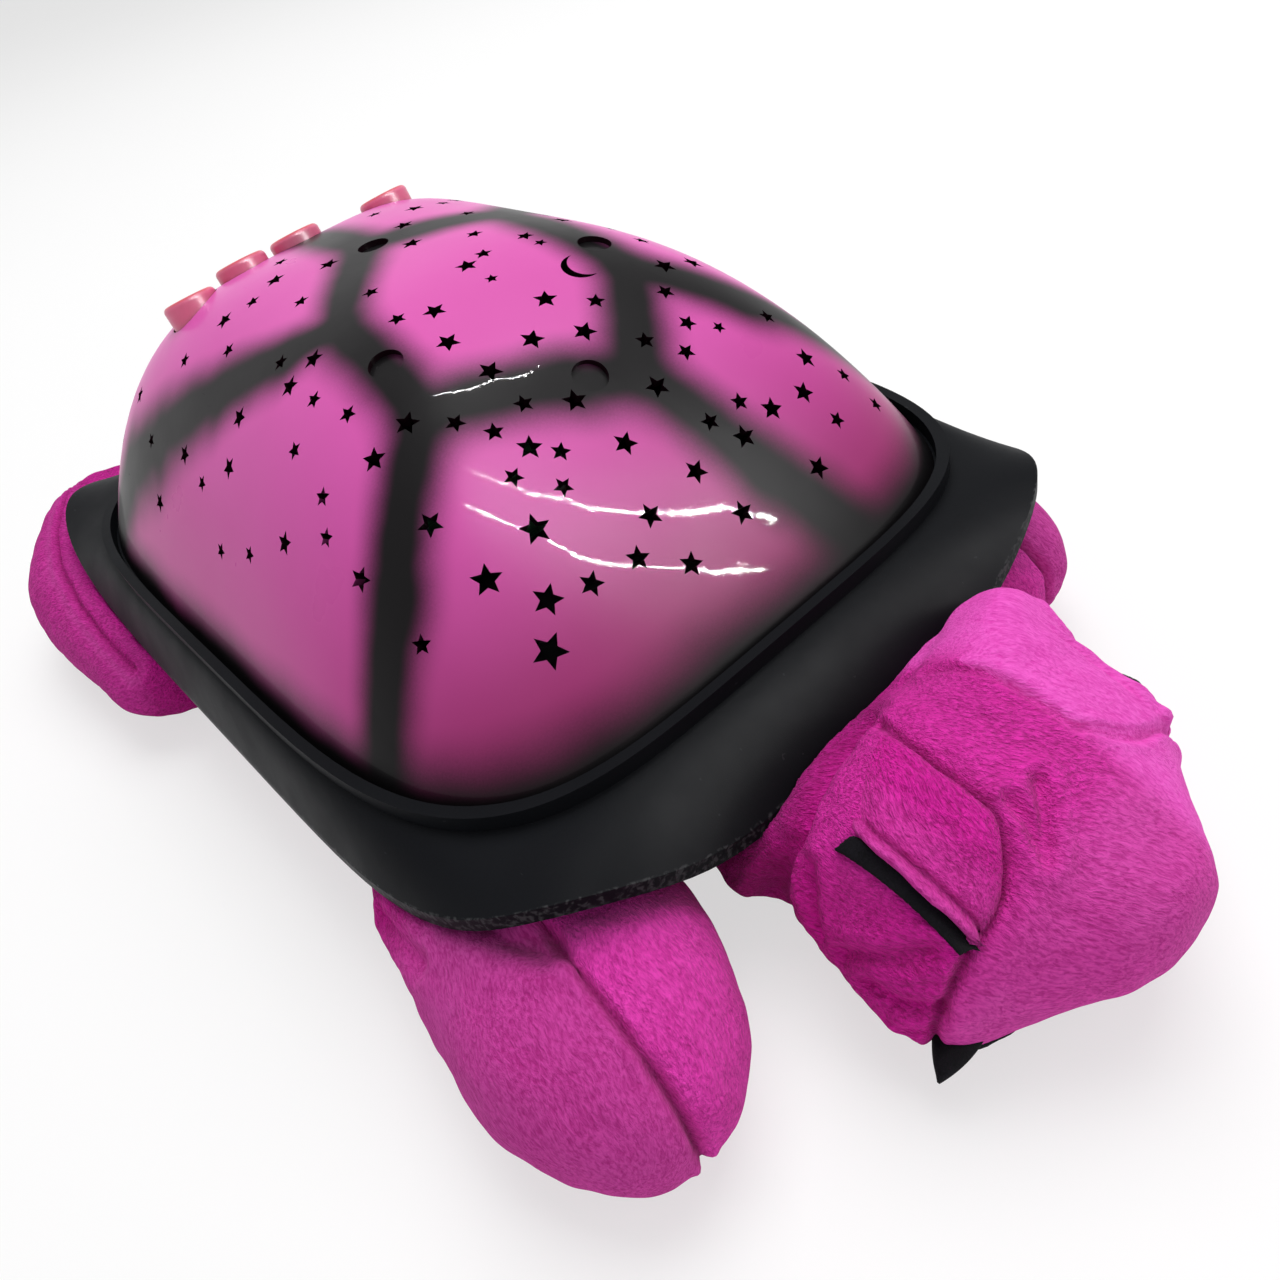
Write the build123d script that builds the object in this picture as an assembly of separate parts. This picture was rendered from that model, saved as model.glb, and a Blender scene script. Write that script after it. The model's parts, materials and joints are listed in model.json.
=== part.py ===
from build123d import *
import math
import os

os.makedirs("parts", exist_ok=True)

# Musical night light: a stuffed turtle that carries a star-pierced plastic shell.
# Millimetres, +Z up, head towards -Y. The origin is on the floor, under the middle of the toy.

# Reach of the toy before and behind the middle of its shell, and so the shell's place.
NOSE_REACH = 185.0
REAR_REACH = 168.0
SHELL_Y = (NOSE_REACH - REAR_REACH) / 2

# Star dome: a rounded-rectangle plan that rises in one smooth crown.
SHELL_BASE_Z = 46.0
DOME_HALF_W = 75.0
DOME_HALF_L = 104.5
DOME_H = 61.5
DOME_PLAN_POWER = 4.5
DOME_CROWN_POWER = 2.96
DOME_WALL = 2.4
STAR_NECK = 0.46
STAR_TURN = 137.5
DIMPLE_D = 7.0
DIMPLE_DEPTH = 1.3
MOON_R = 4.0
MOON_BITE = 1.6

# Skirt under the dome: flat ledge, raised collar, then an edge that drops and stays up at the corners.
SKIRT_HALF_W = 83.2
SKIRT_FRONT = 122.0
SKIRT_REAR = 132.0
SKIRT_PLAN_POWER = 5.7
SKIRT_T = 3.2
SKIRT_DROP = 15.0
SKIRT_CORNER_DROP = 0.5
SKIRT_CORNER_LEAN = 0.8
SKIRT_CORNER_POWER = 4.5
SKIRT_FALL_POWER = 1.7
LEDGE_W = 19.0
COLLAR_GAP = 0.5
COLLAR_T = 2.2
COLLAR_H = 3.4

# Base tray: flange under the ledge and a well that hangs into the stuffing.
FLANGE_INSET = 1.2
FLANGE_T = 2.4
WELL_HALF_W = 57.0
WELL_HALF_L = 83.0
WELL_PLAN_POWER = 5.0
WELL_BOTTOM_Z = 16.0
TRAY_WALL = 2.2
SEAT_GAP = 0.05

# Screws that join tray, skirt and dome.
BOSS_D = 8.5
BOSS_H = 13.0
BOSS_SIDE_INSET = 12.0
BOSS_END_INSET = 12.5
BOSS_ROW = 62.0
SCREW_D = 3.0
SCREW_HEAD_D = 6.0
SCREW_HEAD_H = 2.2
SCREW_FIT = 0.3
PILOT_FIT = 0.1
SCREW_BITE = 8.0

# Push buttons on the rear of the dome and the switch board below them.
BUTTON_Y = 45.0
BUTTON_X = (-30.4, -15.2, 0.0, 26.0)
BUTTON_D = 13.0
BUTTON_PROUD = 2.6
BUTTON_EDGE_R = 1.2
BUTTON_FIT = 0.4
BUTTON_BODY_DEPTH = 6.0
BUTTON_TAB_W = 9.0
BUTTON_TAB_L = 19.0
BUTTON_TAB_T = 3.0
BUTTON_STEM_D = 5.0
SWITCH_BOARD_DEPTH = 22.0
SWITCH_SIDE = 6.0
SWITCH_H = 3.5
SWITCH_BORE_D = 4.0
SWITCH_BORE_DEPTH = 2.7
PLUNGER_D = 3.4
PLUNGER_PROUD = 1.5
PLUNGER_SUNK = 1.1
BOARD_T = 1.6
SWITCH_BOARD_W = 13.0
SWITCH_POST_D = 6.0
SWITCH_POST_X = (-41.0, 13.0)
SMALL_SCREW_D = 2.0
SMALL_HEAD_D = 4.0
SMALL_HEAD_H = 1.5
SMALL_BITE = 5.0

# Battery bay for three AAA cells, opened from below.
CELL_D = 10.5
CELL_L = 44.5
CELL_PITCH = 11.6
CELL_NUB_D = 3.8
CELL_NUB_L = 0.8
CELL_ROOM = 0.7
CELL_EDGE_R = 0.6
CONTACT_ROOM = 3.0
CONTACT_T = 0.4
CONTACT_W = 8.0
CONTACT_INSET = 1.0
DOOR_T = 2.0
DOOR_MARGIN = 4.0
DOOR_TAB = 11.0
DOOR_FIT = 0.3
DOOR_SEAT_GAP = 0.1
DOOR_EDGE_R = 2.0
GRIP_COUNT = 5
GRIP_W = 18.0
GRIP_T = 1.0
GRIP_STEP = 2.4
GRIP_INSET = 6.0
BAY_WALL = 2.0

# Lamp board with its lamps, sound chip and capacitor.
LAMP_BOARD_W = 66.0
LAMP_BOARD_L = 40.0
LAMP_BOARD_GAP = 4.5
LAMP_POST_D = 6.0
LAMP_POST_INSET = 4.0
LED_D = 5.0
LED_FLANGE_D = 5.8
LED_FLANGE_H = 1.0
LED_BARREL_H = 6.0
LED_RING_R = 6.5
CHIP_D = 14.0
CHIP_H = 2.2
CAPACITOR_D = 6.3
CAPACITOR_H = 9.0
CAPACITOR_EDGE_R = 0.5

# Loudspeaker, facing down on the floor of the tray.
SPEAKER_D = 40.0
SPEAKER_FLANGE_T = 1.2
SPEAKER_DEPTH = 7.0
SPEAKER_THROAT_D = 25.0
SPEAKER_SKIN = 0.8
SPEAKER_COIL_D = 13.0
CONE_RISE = 3.0
MAGNET_D = 22.0
MAGNET_H = 5.0
SPEAKER_OFFSET = 57.0
SPEAKER_RIB_T = 1.6
SPEAKER_FIT = 0.3
CLAMP_D = 7.0
CLAMP_T = 1.0
CLAMP_BITE = 0.9
CLAMP_FLOOR = 0.8
SOUND_HOLE_D = 3.0
SOUND_HOLE_STEP = 6.0

# Stuffed body under the skirt, with its belly opening.
BODY_HALF_W = 74.0
BODY_HALF_L = 105.0
BODY_CORNER_R = 46.0
BODY_POCKET_GAP = 0.5
BODY_TOP_GAP = 0.6
SOFT_GAP = 0.4
WINDOW_MARGIN = 5.0
FLAP_MARGIN = 9.0
FLAP_T = 3.0
FLAP_LIFT = 0.6
FLAP_GAP = 0.6
STRIP_T = 0.9
STRIP_W = 6.0
STRIP_GAP = 0.2

# Stuffed pieces: width, lowest point, height of the widest place and highest point of each cross-section.
SOFT_POWER = 2.3
SOFT_POINTS = 12

# Head, by distance from the shell's middle towards the nose: narrow neck, broad cheeks, beak.
HEAD_SECTIONS = (
    (100.0, 46.0, 5.0, 15.0, 26.0),
    (117.0, 56.0, 4.0, 17.0, 32.0),
    (130.0, 68.0, 3.0, 21.0, 45.0),
    (141.0, 75.0, 3.0, 22.0, 50.0),
    (152.0, 76.0, 3.0, 20.0, 48.0),
    (162.0, 70.0, 4.0, 18.0, 44.0),
    (170.0, 57.0, 6.0, 18.0, 40.0),
    (178.0, 37.0, 10.0, 21.0, 37.0),
    (NOSE_REACH, 12.0, 18.0, 26.0, 32.0),
)
LID_T = 2.8
FELT_T = 1.5
EYE_NEAR = 141.0
EYE_FAR = 165.0
EYE_Z = 39.0
EYE_H = 2.4
EYE_SLOPE = 17.0
LID_PLAN = (
    (7, 131), (10.5, 144), (10, 157), (15, 162.5), (24, 165.5), (45, 165.5), (45, 141), (24, 135), (15, 130),
)
MOUTH_REACH = 163.0
MOUTH_Z = 13.0
MOUTH_SLOPE = 20.0
MOUTH_H = 2.6
MOUTH_TIP = 5.0
MOUTH_TIP_L = 8.0

# Flippers, by distance along the limb. The left front one is pushed further back under the shell.
FRONT_ROOTS = {"right": (56.5, -52.0), "left": (53.0, -24.0)}
FRONT_AIMS = {"right": (0.185, -1.0), "left": (0.14, -1.0)}
FRONT_SECTIONS = (
    (0.0, 40.0, 6.0, 17.0, 30.0),
    (22.0, 52.0, 1.5, 16.0, 35.0),
    (44.0, 55.0, -0.5, 16.0, 37.0),
    (64.0, 54.0, -0.5, 16.0, 38.0),
    (82.0, 45.0, 2.0, 16.0, 35.0),
    (93.0, 30.0, 6.0, 16.0, 29.0),
    (98.5, 13.0, 11.0, 16.0, 22.0),
)
REAR_ROOT = (69.0, 40.0)
REAR_AIM = (-0.078, 1.0)
REAR_SECTIONS = (
    (0.0, 50.0, 5.0, 16.0, 29.0),
    (20.0, 64.0, 1.5, 16.0, 33.0),
    (45.0, 72.0, -0.5, 16.0, 36.0),
    (70.0, 76.0, -0.5, 17.0, 39.0),
    (95.0, 64.0, 2.0, 18.0, 40.0),
    (115.0, 44.0, 6.0, 20.0, 37.0),
    (REAR_REACH - REAR_ROOT[1], 16.0, 14.0, 21.0, 28.0),
)

# Star holes, by panel of the shell: place from the middle of the shell (x, y) and size across.
STARS_FRONT_RIGHT = (
    (-14, -64, 4), (-6, -68, 5), (-22, -65, 4), (-19, -70, 5), (-15, -73, 4), (-4, -77, 5), (4, -85, 5),
    (-25, -72, 4), (-19, -77, 4), (-9, -86, 5), (7, -92, 5), (-41, -68, 5), (-28, -79, 6), (-16, -89, 5),
    (-8, -93, 5), (-40, -79, 6), (-26, -88, 5), (-34, -86, 6), (-54, -75, 4), (-39, -90, 7),
)
STARS_FRONT_LEFT = (
    (9, -73, 5), (13, -81, 4), (17, -85, 5), (21, -81, 4), (26, -84, 5), (35, -84, 5), (38, -89, 4),
    (27, -93, 5), (24, -67, 4), (29, -70, 3), (19, -71, 4), (42, -70, 4), (42, -79, 5), (49, -82, 4),
    (52, -87, 4), (14, -66, 4),
)
STARS_CROWN = (
    (6, -49, 5), (13, -55, 4), (-3, -55, 5), (6, -59, 5), (-14, -56, 5), (-15, -46, 5), (-11, -37, 5),
    (-17, -33, 4), (-14, -19, 4), (3, -29, 5), (3, -37, 3), (8, -28, 4), (4, -7, 5), (13, -18, 4),
    (18, -29, 4), (18, -34, 3),
)
STARS_SIDE = (
    (35, -13, 4), (32, -23, 5), (38, -21, 5), (38, -31, 4), (37, -42, 4), (46, -7, 5), (55, 15, 5),
    (57, 4, 4), (53, -8, 5), (46, -32, 4), (40, -53, 5), (32, -54, 5), (26, -60, 4), (49, -45, 4),
    (53, -49, 4), (57, -36, 5), (54, -60, 5), (61, -22, 4), (63, -8, 4), (63, 28, 5), (56, 36, 4),
)
STARS_REAR = (
    (32, 20, 5), (37, 10, 4), (26, 15, 4), (19, 16, 5), (22, -2, 4), (10, 6, 5), (13, 25, 4), (42, 28, 4),
    (50, 52, 5), (44, 66, 4), (56, 68, 5), (34, 74, 5), (20, 72, 4), (8, 80, 5), (27, 86, 4),
    (45, 84, 5), (14, 92, 4),
)

UP = (0, 0, 1)
DOWN = (0, 0, -1)
DEEP = 160.0


def power_plan(x, y, half_x, half_y, power):
    """1 on the outline of a superellipse, less inside it."""
    return (abs(x / half_x) ** power + abs(y / half_y) ** power) ** (1 / power)


def power_outline(half_x, half_y, power, y_mid=0.0, count=48):
    """Closed superellipse outline round the shell's middle, as a face on the floor."""
    points = []
    for i in range(count):
        a = 2 * math.pi * i / count
        c, s = math.cos(a), math.sin(a)
        r = 1 / power_plan(c, s, half_x, half_y, power)
        points.append((r * c, SHELL_Y + y_mid + r * s))
    return make_face(Spline(*points, periodic=True))


def plate(outline, z_low, z_high):
    """Upright slab of an outline between two heights."""
    return Pos(0, 0, z_low) * extrude(outline, amount=z_high - z_low, dir=UP)


def field(height, half_x, half_y, y_mid=0.0, steps=28):
    """Smooth face whose height is given over every place in plan."""
    rows = []
    for i in range(steps + 1):
        x = half_x * (2 * i / steps - 1)
        row = []
        for j in range(steps + 1):
            y = y_mid + half_y * (2 * j / steps - 1)
            row.append((x, SHELL_Y + y, height(x, y)))
        rows.append(row)
    return Face.make_surface_from_array_of_points(rows)


def dome_height(x, y, inset=0.0):
    """Height of the dome, or of a surface a little inside it, over a place in plan."""
    rho = power_plan(x, y, DOME_HALF_W - inset, DOME_HALF_L - inset, DOME_PLAN_POWER)
    return SHELL_BASE_Z + (DOME_H - inset) * (1 - rho ** DOME_CROWN_POWER)


def dome_under(inset=0.0, drop=0.0):
    """Space under the dome surface, inset by a wall and lowered by a gap."""
    reach = 1.1
    roof = field(lambda x, y: dome_height(x, y, inset) - drop, DOME_HALF_W * reach, DOME_HALF_L * reach)
    return extrude(roof, amount=DEEP, dir=DOWN)


def dome_plane(x, y):
    """Plane that lies on the dome at a place in plan, facing out."""
    step = 0.5
    slope_x = (dome_height(x + step, y) - dome_height(x - step, y)) / (2 * step)
    slope_y = (dome_height(x, y + step) - dome_height(x, y - step)) / (2 * step)
    place = (x, SHELL_Y + y, dome_height(x, y))
    return Plane(origin=place, x_dir=(1, 0, slope_x), z_dir=(-slope_x, -slope_y, 1))


def star_tool(x, y, size, turn):
    """Five-pointed prism that pierces the dome square to its surface."""
    points = []
    for i in range(10):
        r = size / 2 if i % 2 == 0 else size / 2 * STAR_NECK
        a = math.radians(turn + 36 * i)
        points.append((r * math.cos(a), r * math.sin(a)))
    star = make_face(Polyline(*points, close=True))
    return dome_plane(x, y) * Pos(0, 0, -3 * DOME_WALL) * extrude(star, amount=5 * DOME_WALL)


def mirrored(stars):
    """The same stars on the other side of the toy."""
    return tuple((-x, y, size) for x, y, size in stars)


# Places shared by dome, skirt, tray and screws.
BOSS_PLACES = [(sx * (DOME_HALF_W - BOSS_SIDE_INSET), sy * BOSS_ROW) for sx in (-1, 1) for sy in (-1, 1)]
BOSS_PLACES += [(0, sy * (DOME_HALF_L - BOSS_END_INSET)) for sy in (-1, 1)]
DIMPLE_PLACES = ((0, -66), (0, 3), (-26, -41), (26, -41))
MOON_PLACE = (18, -46)
LEDGE_TOP_Z = SHELL_BASE_Z - SEAT_GAP
LEDGE_LOW_Z = LEDGE_TOP_Z - SKIRT_T
FLANGE_TOP_Z = LEDGE_LOW_Z - SEAT_GAP
FLANGE_LOW_Z = FLANGE_TOP_Z - FLANGE_T
FLOOR_Z = WELL_BOTTOM_Z + TRAY_WALL

# Frame of the push buttons: the dome's own slope in the middle of the row.
BUTTON_FRAME = dome_plane(0, BUTTON_Y)


def button_face(x):
    """Height of the dome over a button, along the press direction, from the button frame."""
    t = 0.0
    for _ in range(8):
        p = BUTTON_FRAME.from_local_coords(Vector(x, 0, t))
        t += (dome_height(p.X, p.Y - SHELL_Y) - p.Z) / BUTTON_FRAME.z_dir.Z
    return t


def in_button_frame(shape, x=0.0, z=0.0):
    """Place a shape made round the Z axis at a place of the button row."""
    return BUTTON_FRAME * Pos(x, 0, z) * shape


BOARD_TOP = -SWITCH_BOARD_DEPTH
SWITCH_TOP = BOARD_TOP + SWITCH_H
STEM_END = SWITCH_TOP + PLUNGER_PROUD


def rod(d, z_low, z_high, x=0.0, y=0.0):
    """Round bar along Z."""
    return Pos(x, y, z_low) * extrude(Circle(d / 2), amount=z_high - z_low)


def make_dome():
    above = Pos(0, SHELL_Y, SHELL_BASE_Z + DEEP / 2) * Box(4 * DOME_HALF_W, 4 * DOME_HALF_L, DEEP)
    dome = dome_under() & above
    dome -= dome_under(DOME_WALL)
    room = dome_under(DOME_WALL / 2)
    for x, y in BOSS_PLACES:
        dome += rod(BOSS_D, SHELL_BASE_Z, SHELL_BASE_Z + BOSS_H, x, SHELL_Y + y) & room
    for x in SWITCH_POST_X:
        dome += in_button_frame(rod(SWITCH_POST_D, BOARD_TOP, 0), x) & room
    tools = []
    for x, y in BOSS_PLACES:
        tools.append(rod(SCREW_D + 2 * PILOT_FIT, 0, SHELL_BASE_Z + SCREW_BITE + 1, x, SHELL_Y + y))
    for x in SWITCH_POST_X:
        pilot = rod(SMALL_SCREW_D + 2 * PILOT_FIT, BOARD_TOP - 1, BOARD_TOP + SMALL_BITE + 1)
        tools.append(in_button_frame(pilot, x))
    for x in BUTTON_X:
        z = button_face(x)
        hole = rod(BUTTON_D + 2 * BUTTON_FIT, z - 4 * DOME_WALL, z + 4 * DOME_WALL)
        tools.append(in_button_frame(hole, x))
    for x, y in DIMPLE_PLACES:
        tools.append(dome_plane(x, y) * rod(DIMPLE_D, -DIMPLE_DEPTH, 3 * DIMPLE_DEPTH))
    stars = STARS_FRONT_RIGHT + STARS_FRONT_LEFT + STARS_CROWN
    stars += STARS_SIDE + mirrored(STARS_SIDE) + STARS_REAR + mirrored(STARS_REAR)
    for i, (x, y, size) in enumerate(stars):
        tools.append(star_tool(x, y, size, STAR_TURN * i))
    moon = Circle(MOON_R) - Pos(MOON_BITE, 0) * Circle(MOON_R)
    tools.append(dome_plane(*MOON_PLACE) * Pos(0, 0, -3 * DOME_WALL) * extrude(moon, amount=5 * DOME_WALL))
    return dome - tools


def skirt_ring(grow=0.0, count=60, bands=4):
    """Falling part of the skirt as one face, from the collar's outline out to the edge."""
    rim_w = DOME_HALF_W + COLLAR_GAP + COLLAR_T
    rim_l = DOME_HALF_L + COLLAR_GAP + COLLAR_T
    outlines = []
    for band in range(bands + 1):
        share = band / bands
        points = []
        for i in range(count):
            a = 2 * math.pi * i / count
            c, s = math.cos(a), math.sin(a)
            rim = 1 / power_plan(c, s, rim_w, rim_l, DOME_PLAN_POWER)
            reach = SKIRT_FRONT if s < 0 else SKIRT_REAR
            edge = grow + 1 / power_plan(c, s, SKIRT_HALF_W, reach, SKIRT_PLAN_POWER)
            across = abs(rim * c / rim_w / SKIRT_CORNER_LEAN) ** SKIRT_CORNER_POWER
            along = abs(rim * s / rim_l) ** SKIRT_CORNER_POWER
            corner = 4 * across * along / (across + along) ** 2
            drop = SKIRT_DROP + (SKIRT_CORNER_DROP - SKIRT_DROP) * corner
            r = rim + (edge - rim) * share
            points.append((r * c, SHELL_Y + r * s, LEDGE_TOP_Z - drop * share ** SKIRT_FALL_POWER))
        outlines.append(Wire([Spline(*points, periodic=True)]))
    return Shell.make_loft(outlines).faces()[0]


def make_skirt():
    collar_in = DOME_HALF_W + COLLAR_GAP, DOME_HALF_L + COLLAR_GAP
    collar_out = collar_in[0] + COLLAR_T, collar_in[1] + COLLAR_T
    rim = power_outline(*collar_out, DOME_PLAN_POWER, count=60)
    ledge = rim - power_outline(DOME_HALF_W - LEDGE_W, DOME_HALF_L - LEDGE_W, DOME_PLAN_POWER)
    collar = rim - power_outline(*collar_in, DOME_PLAN_POWER)
    skirt = plate(ledge, LEDGE_LOW_Z, LEDGE_TOP_Z) + plate(collar, LEDGE_LOW_Z, SHELL_BASE_Z + COLLAR_H)
    skirt += extrude(skirt_ring(), amount=SKIRT_T, dir=DOWN)
    return skirt - [rod(SCREW_D + 2 * SCREW_FIT, 0, DEEP, x, SHELL_Y + y) for x, y in BOSS_PLACES]


# Battery bay sizes, from the cells.
BAY_W = 2 * CELL_PITCH + CELL_D + 2 * CELL_ROOM
BAY_L = CELL_L + CELL_NUB_L + 2 * CONTACT_ROOM
BAY_LOW_Z = WELL_BOTTOM_Z + DOOR_T + DOOR_SEAT_GAP
CELL_Z = BAY_LOW_Z + CELL_ROOM + CELL_D / 2
BAY_TOP_Z = CELL_Z + CELL_D / 2 + CELL_ROOM
DOOR_W = BAY_W + 2 * DOOR_MARGIN
DOOR_LOW_Y = -BAY_L / 2 - DOOR_MARGIN
DOOR_HIGH_Y = BAY_L / 2 + DOOR_TAB
DOOR_MID_Y = (DOOR_LOW_Y + DOOR_HIGH_Y) / 2
DOOR_L = DOOR_HIGH_Y - DOOR_LOW_Y
DOOR_SCREW_Y = BAY_L / 2 + DOOR_TAB / 2 + BAY_WALL / 2
LAMP_BOARD_Z = BAY_TOP_Z + BAY_WALL + LAMP_BOARD_GAP
LAMP_POSTS = [
    (sx * (LAMP_BOARD_W / 2 - LAMP_POST_INSET), sy * (LAMP_BOARD_L / 2 - LAMP_POST_INSET))
    for sx in (-1, 1)
    for sy in (-1, 1)
]
SPEAKER_MID_Y = -SPEAKER_OFFSET
CLAMP_PLACES = [(sx * (SPEAKER_D / 2 + SMALL_SCREW_D + SPEAKER_FIT), SPEAKER_MID_Y) for sx in (-1, 1)]
SPEAKER_TOP_Z = FLOOR_Z + SPEAKER_FLANGE_T


def block(w, l, z_low, z_high, y=0.0, x=0.0):
    """Square-cornered block round the shell's middle."""
    return Pos(x, SHELL_Y + y, (z_low + z_high) / 2) * Box(w, l, z_high - z_low)


def sound_holes():
    """Two rings of sound holes round one in the middle."""
    holes = []
    for ring in range(3):
        for i in range(max(6 * ring, 1)):
            a = 2 * math.pi * i / max(6 * ring, 1)
            x = ring * SOUND_HOLE_STEP * math.cos(a)
            y = SPEAKER_MID_Y + ring * SOUND_HOLE_STEP * math.sin(a)
            holes.append(rod(SOUND_HOLE_D, 0, FLOOR_Z + 1, x, SHELL_Y + y))
    return holes


def make_tray():
    flange = power_outline(DOME_HALF_W - FLANGE_INSET, DOME_HALF_L - FLANGE_INSET, DOME_PLAN_POWER)
    well = power_outline(WELL_HALF_W, WELL_HALF_L, WELL_PLAN_POWER)
    hollow = power_outline(WELL_HALF_W - TRAY_WALL, WELL_HALF_L - TRAY_WALL, WELL_PLAN_POWER)
    tray = plate(flange, FLANGE_LOW_Z, FLANGE_TOP_Z) + plate(well, WELL_BOTTOM_Z, FLANGE_TOP_Z)
    tray -= plate(hollow, FLOOR_Z, DEEP)
    seat_top = BAY_LOW_Z + TRAY_WALL
    tray += block(DOOR_W + 2 * BAY_WALL, DOOR_L + 2 * BAY_WALL, WELL_BOTTOM_Z, seat_top, DOOR_MID_Y)
    tray += block(BAY_W + 2 * BAY_WALL, BAY_L + 2 * BAY_WALL, WELL_BOTTOM_Z, BAY_TOP_Z + BAY_WALL)
    tray += rod(SCREW_HEAD_D, FLOOR_Z, BAY_TOP_Z, 0, SHELL_Y + DOOR_SCREW_Y)
    for x, y in LAMP_POSTS:
        tray += rod(LAMP_POST_D, FLOOR_Z - 1, LAMP_BOARD_Z, x, SHELL_Y + y)
    ring = rod(SPEAKER_D + 2 * SPEAKER_FIT + 2 * SPEAKER_RIB_T, FLOOR_Z - 1, FLOOR_Z + SPEAKER_FLANGE_T / 2)
    ring -= rod(SPEAKER_D + 2 * SPEAKER_FIT, 0, DEEP)
    tray += Pos(0, SHELL_Y + SPEAKER_MID_Y, 0) * ring
    for x, y in CLAMP_PLACES:
        post = rod(SMALL_HEAD_D + 1, FLOOR_Z - 1, SPEAKER_TOP_Z, x, SHELL_Y + y)
        tray += post - rod(SPEAKER_D + 2 * SPEAKER_FIT, 0, DEEP, 0, SHELL_Y + SPEAKER_MID_Y)
    tray -= block(DOOR_W, DOOR_L, 0, BAY_LOW_Z, DOOR_MID_Y)
    tray -= block(BAY_W, BAY_L, 0, BAY_TOP_Z)
    tools = sound_holes()
    for x, y in BOSS_PLACES:
        tools.append(rod(SCREW_D + 2 * SCREW_FIT, 0, DEEP, x, SHELL_Y + y))
    for x, y in LAMP_POSTS:
        tools.append(rod(SMALL_SCREW_D + 2 * PILOT_FIT, LAMP_BOARD_Z - SMALL_BITE - 1, DEEP, x, SHELL_Y + y))
    for x, y in CLAMP_PLACES:
        tools.append(rod(SMALL_SCREW_D + 2 * PILOT_FIT, WELL_BOTTOM_Z + CLAMP_FLOOR, DEEP, x, SHELL_Y + y))
    door_pilot_top = BAY_LOW_Z + SMALL_BITE + 1
    tools.append(rod(SMALL_SCREW_D + 2 * PILOT_FIT, 0, door_pilot_top, 0, SHELL_Y + DOOR_SCREW_Y))
    return tray - tools


def pan_screw(d, head_d, head_h, length):
    """Round-headed screw standing on the Z axis, head below, with a cross slot in the head."""
    screw = rod(head_d, -head_h, 0)
    screw = chamfer(screw.edges().group_by(Axis.Z)[0], head_h / 3)
    screw += rod(d, -head_h / 2, length)
    for turn in (0, 90):
        screw -= Rot(0, 0, turn) * Pos(0, 0, -head_h) * Box(head_d * 0.6, head_d / 7, head_h * 0.8)
    return screw


def group(shapes):
    """Separate equal pieces kept together under one name."""
    return Compound(children=list(shapes))


def make_button(x, cap_room):
    """Cap, tabs that keep it in the dome, and the stem that reaches its switch."""
    face = button_face(x)
    cap = rod(BUTTON_D, face - BUTTON_BODY_DEPTH, face + BUTTON_PROUD)
    cap = fillet(cap.edges().group_by(Axis.Z)[-1], BUTTON_EDGE_R)
    hollow_top = face - DOME_WALL
    cap -= rod(BUTTON_D - 2 * DOME_WALL, face - BUTTON_BODY_DEPTH, hollow_top)
    button = in_button_frame(cap + rod(BUTTON_STEM_D, STEM_END, face), x)
    tab_mid = face - BUTTON_BODY_DEPTH
    tabs = Pos(0, 0, tab_mid) * Box(BUTTON_TAB_W, BUTTON_TAB_L, BUTTON_TAB_T)
    return button + (in_button_frame(tabs, x) & cap_room)


def make_switch(x):
    switch = Pos(x, 0, BOARD_TOP + SWITCH_H / 2) * Box(SWITCH_SIDE, SWITCH_SIDE, SWITCH_H)
    return BUTTON_FRAME * (switch - rod(SWITCH_BORE_D, SWITCH_TOP - SWITCH_BORE_DEPTH, SWITCH_TOP + 1, x))


def make_switch_board():
    low, high = SWITCH_POST_X[0] - SWITCH_POST_D / 2 - 1, BUTTON_X[-1] + SWITCH_SIDE
    board = Pos((low + high) / 2, 0, BOARD_TOP - BOARD_T / 2) * Box(high - low, SWITCH_BOARD_W, BOARD_T)
    for x in SWITCH_POST_X:
        board -= rod(SMALL_SCREW_D + 2 * SCREW_FIT, BOARD_TOP - 2 * BOARD_T, BOARD_TOP + 1, x)
    return BUTTON_FRAME * board


def make_lamp_board():
    board = block(LAMP_BOARD_W, LAMP_BOARD_L, LAMP_BOARD_Z, LAMP_BOARD_Z + BOARD_T)
    for x, y in LAMP_POSTS:
        board -= rod(SMALL_SCREW_D + 2 * SCREW_FIT, 0, DEEP, x, SHELL_Y + y)
    return board


def make_led(i):
    """Round-nosed lamp with its flange, on the lamp board."""
    a = math.radians(45 + 90 * i)
    r = LED_D / 2
    top = LED_FLANGE_H + LED_BARREL_H
    flange = LED_FLANGE_D / 2
    profile = Polyline((0, 0), (flange, 0), (flange, LED_FLANGE_H), (r, LED_FLANGE_H), (r, top))
    nose = RadiusArc((r, top), (0, top + r), -r)
    face = make_face([*profile.edges(), nose, Line((0, top + r), (0, 0))])
    led = revolve(Plane.XZ * face, Axis.Z)
    place = Pos(LED_RING_R * math.cos(a), SHELL_Y + LED_RING_R * math.sin(a), LAMP_BOARD_Z + BOARD_T)
    return place * led


def spun(points, y):
    """Ring or cup turned from an outline of radius and height, on an upright axis."""
    return Pos(0, SHELL_Y + y, 0) * revolve(Plane.XZ * make_face(Polyline(*points, close=True)), Axis.Z)


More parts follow.
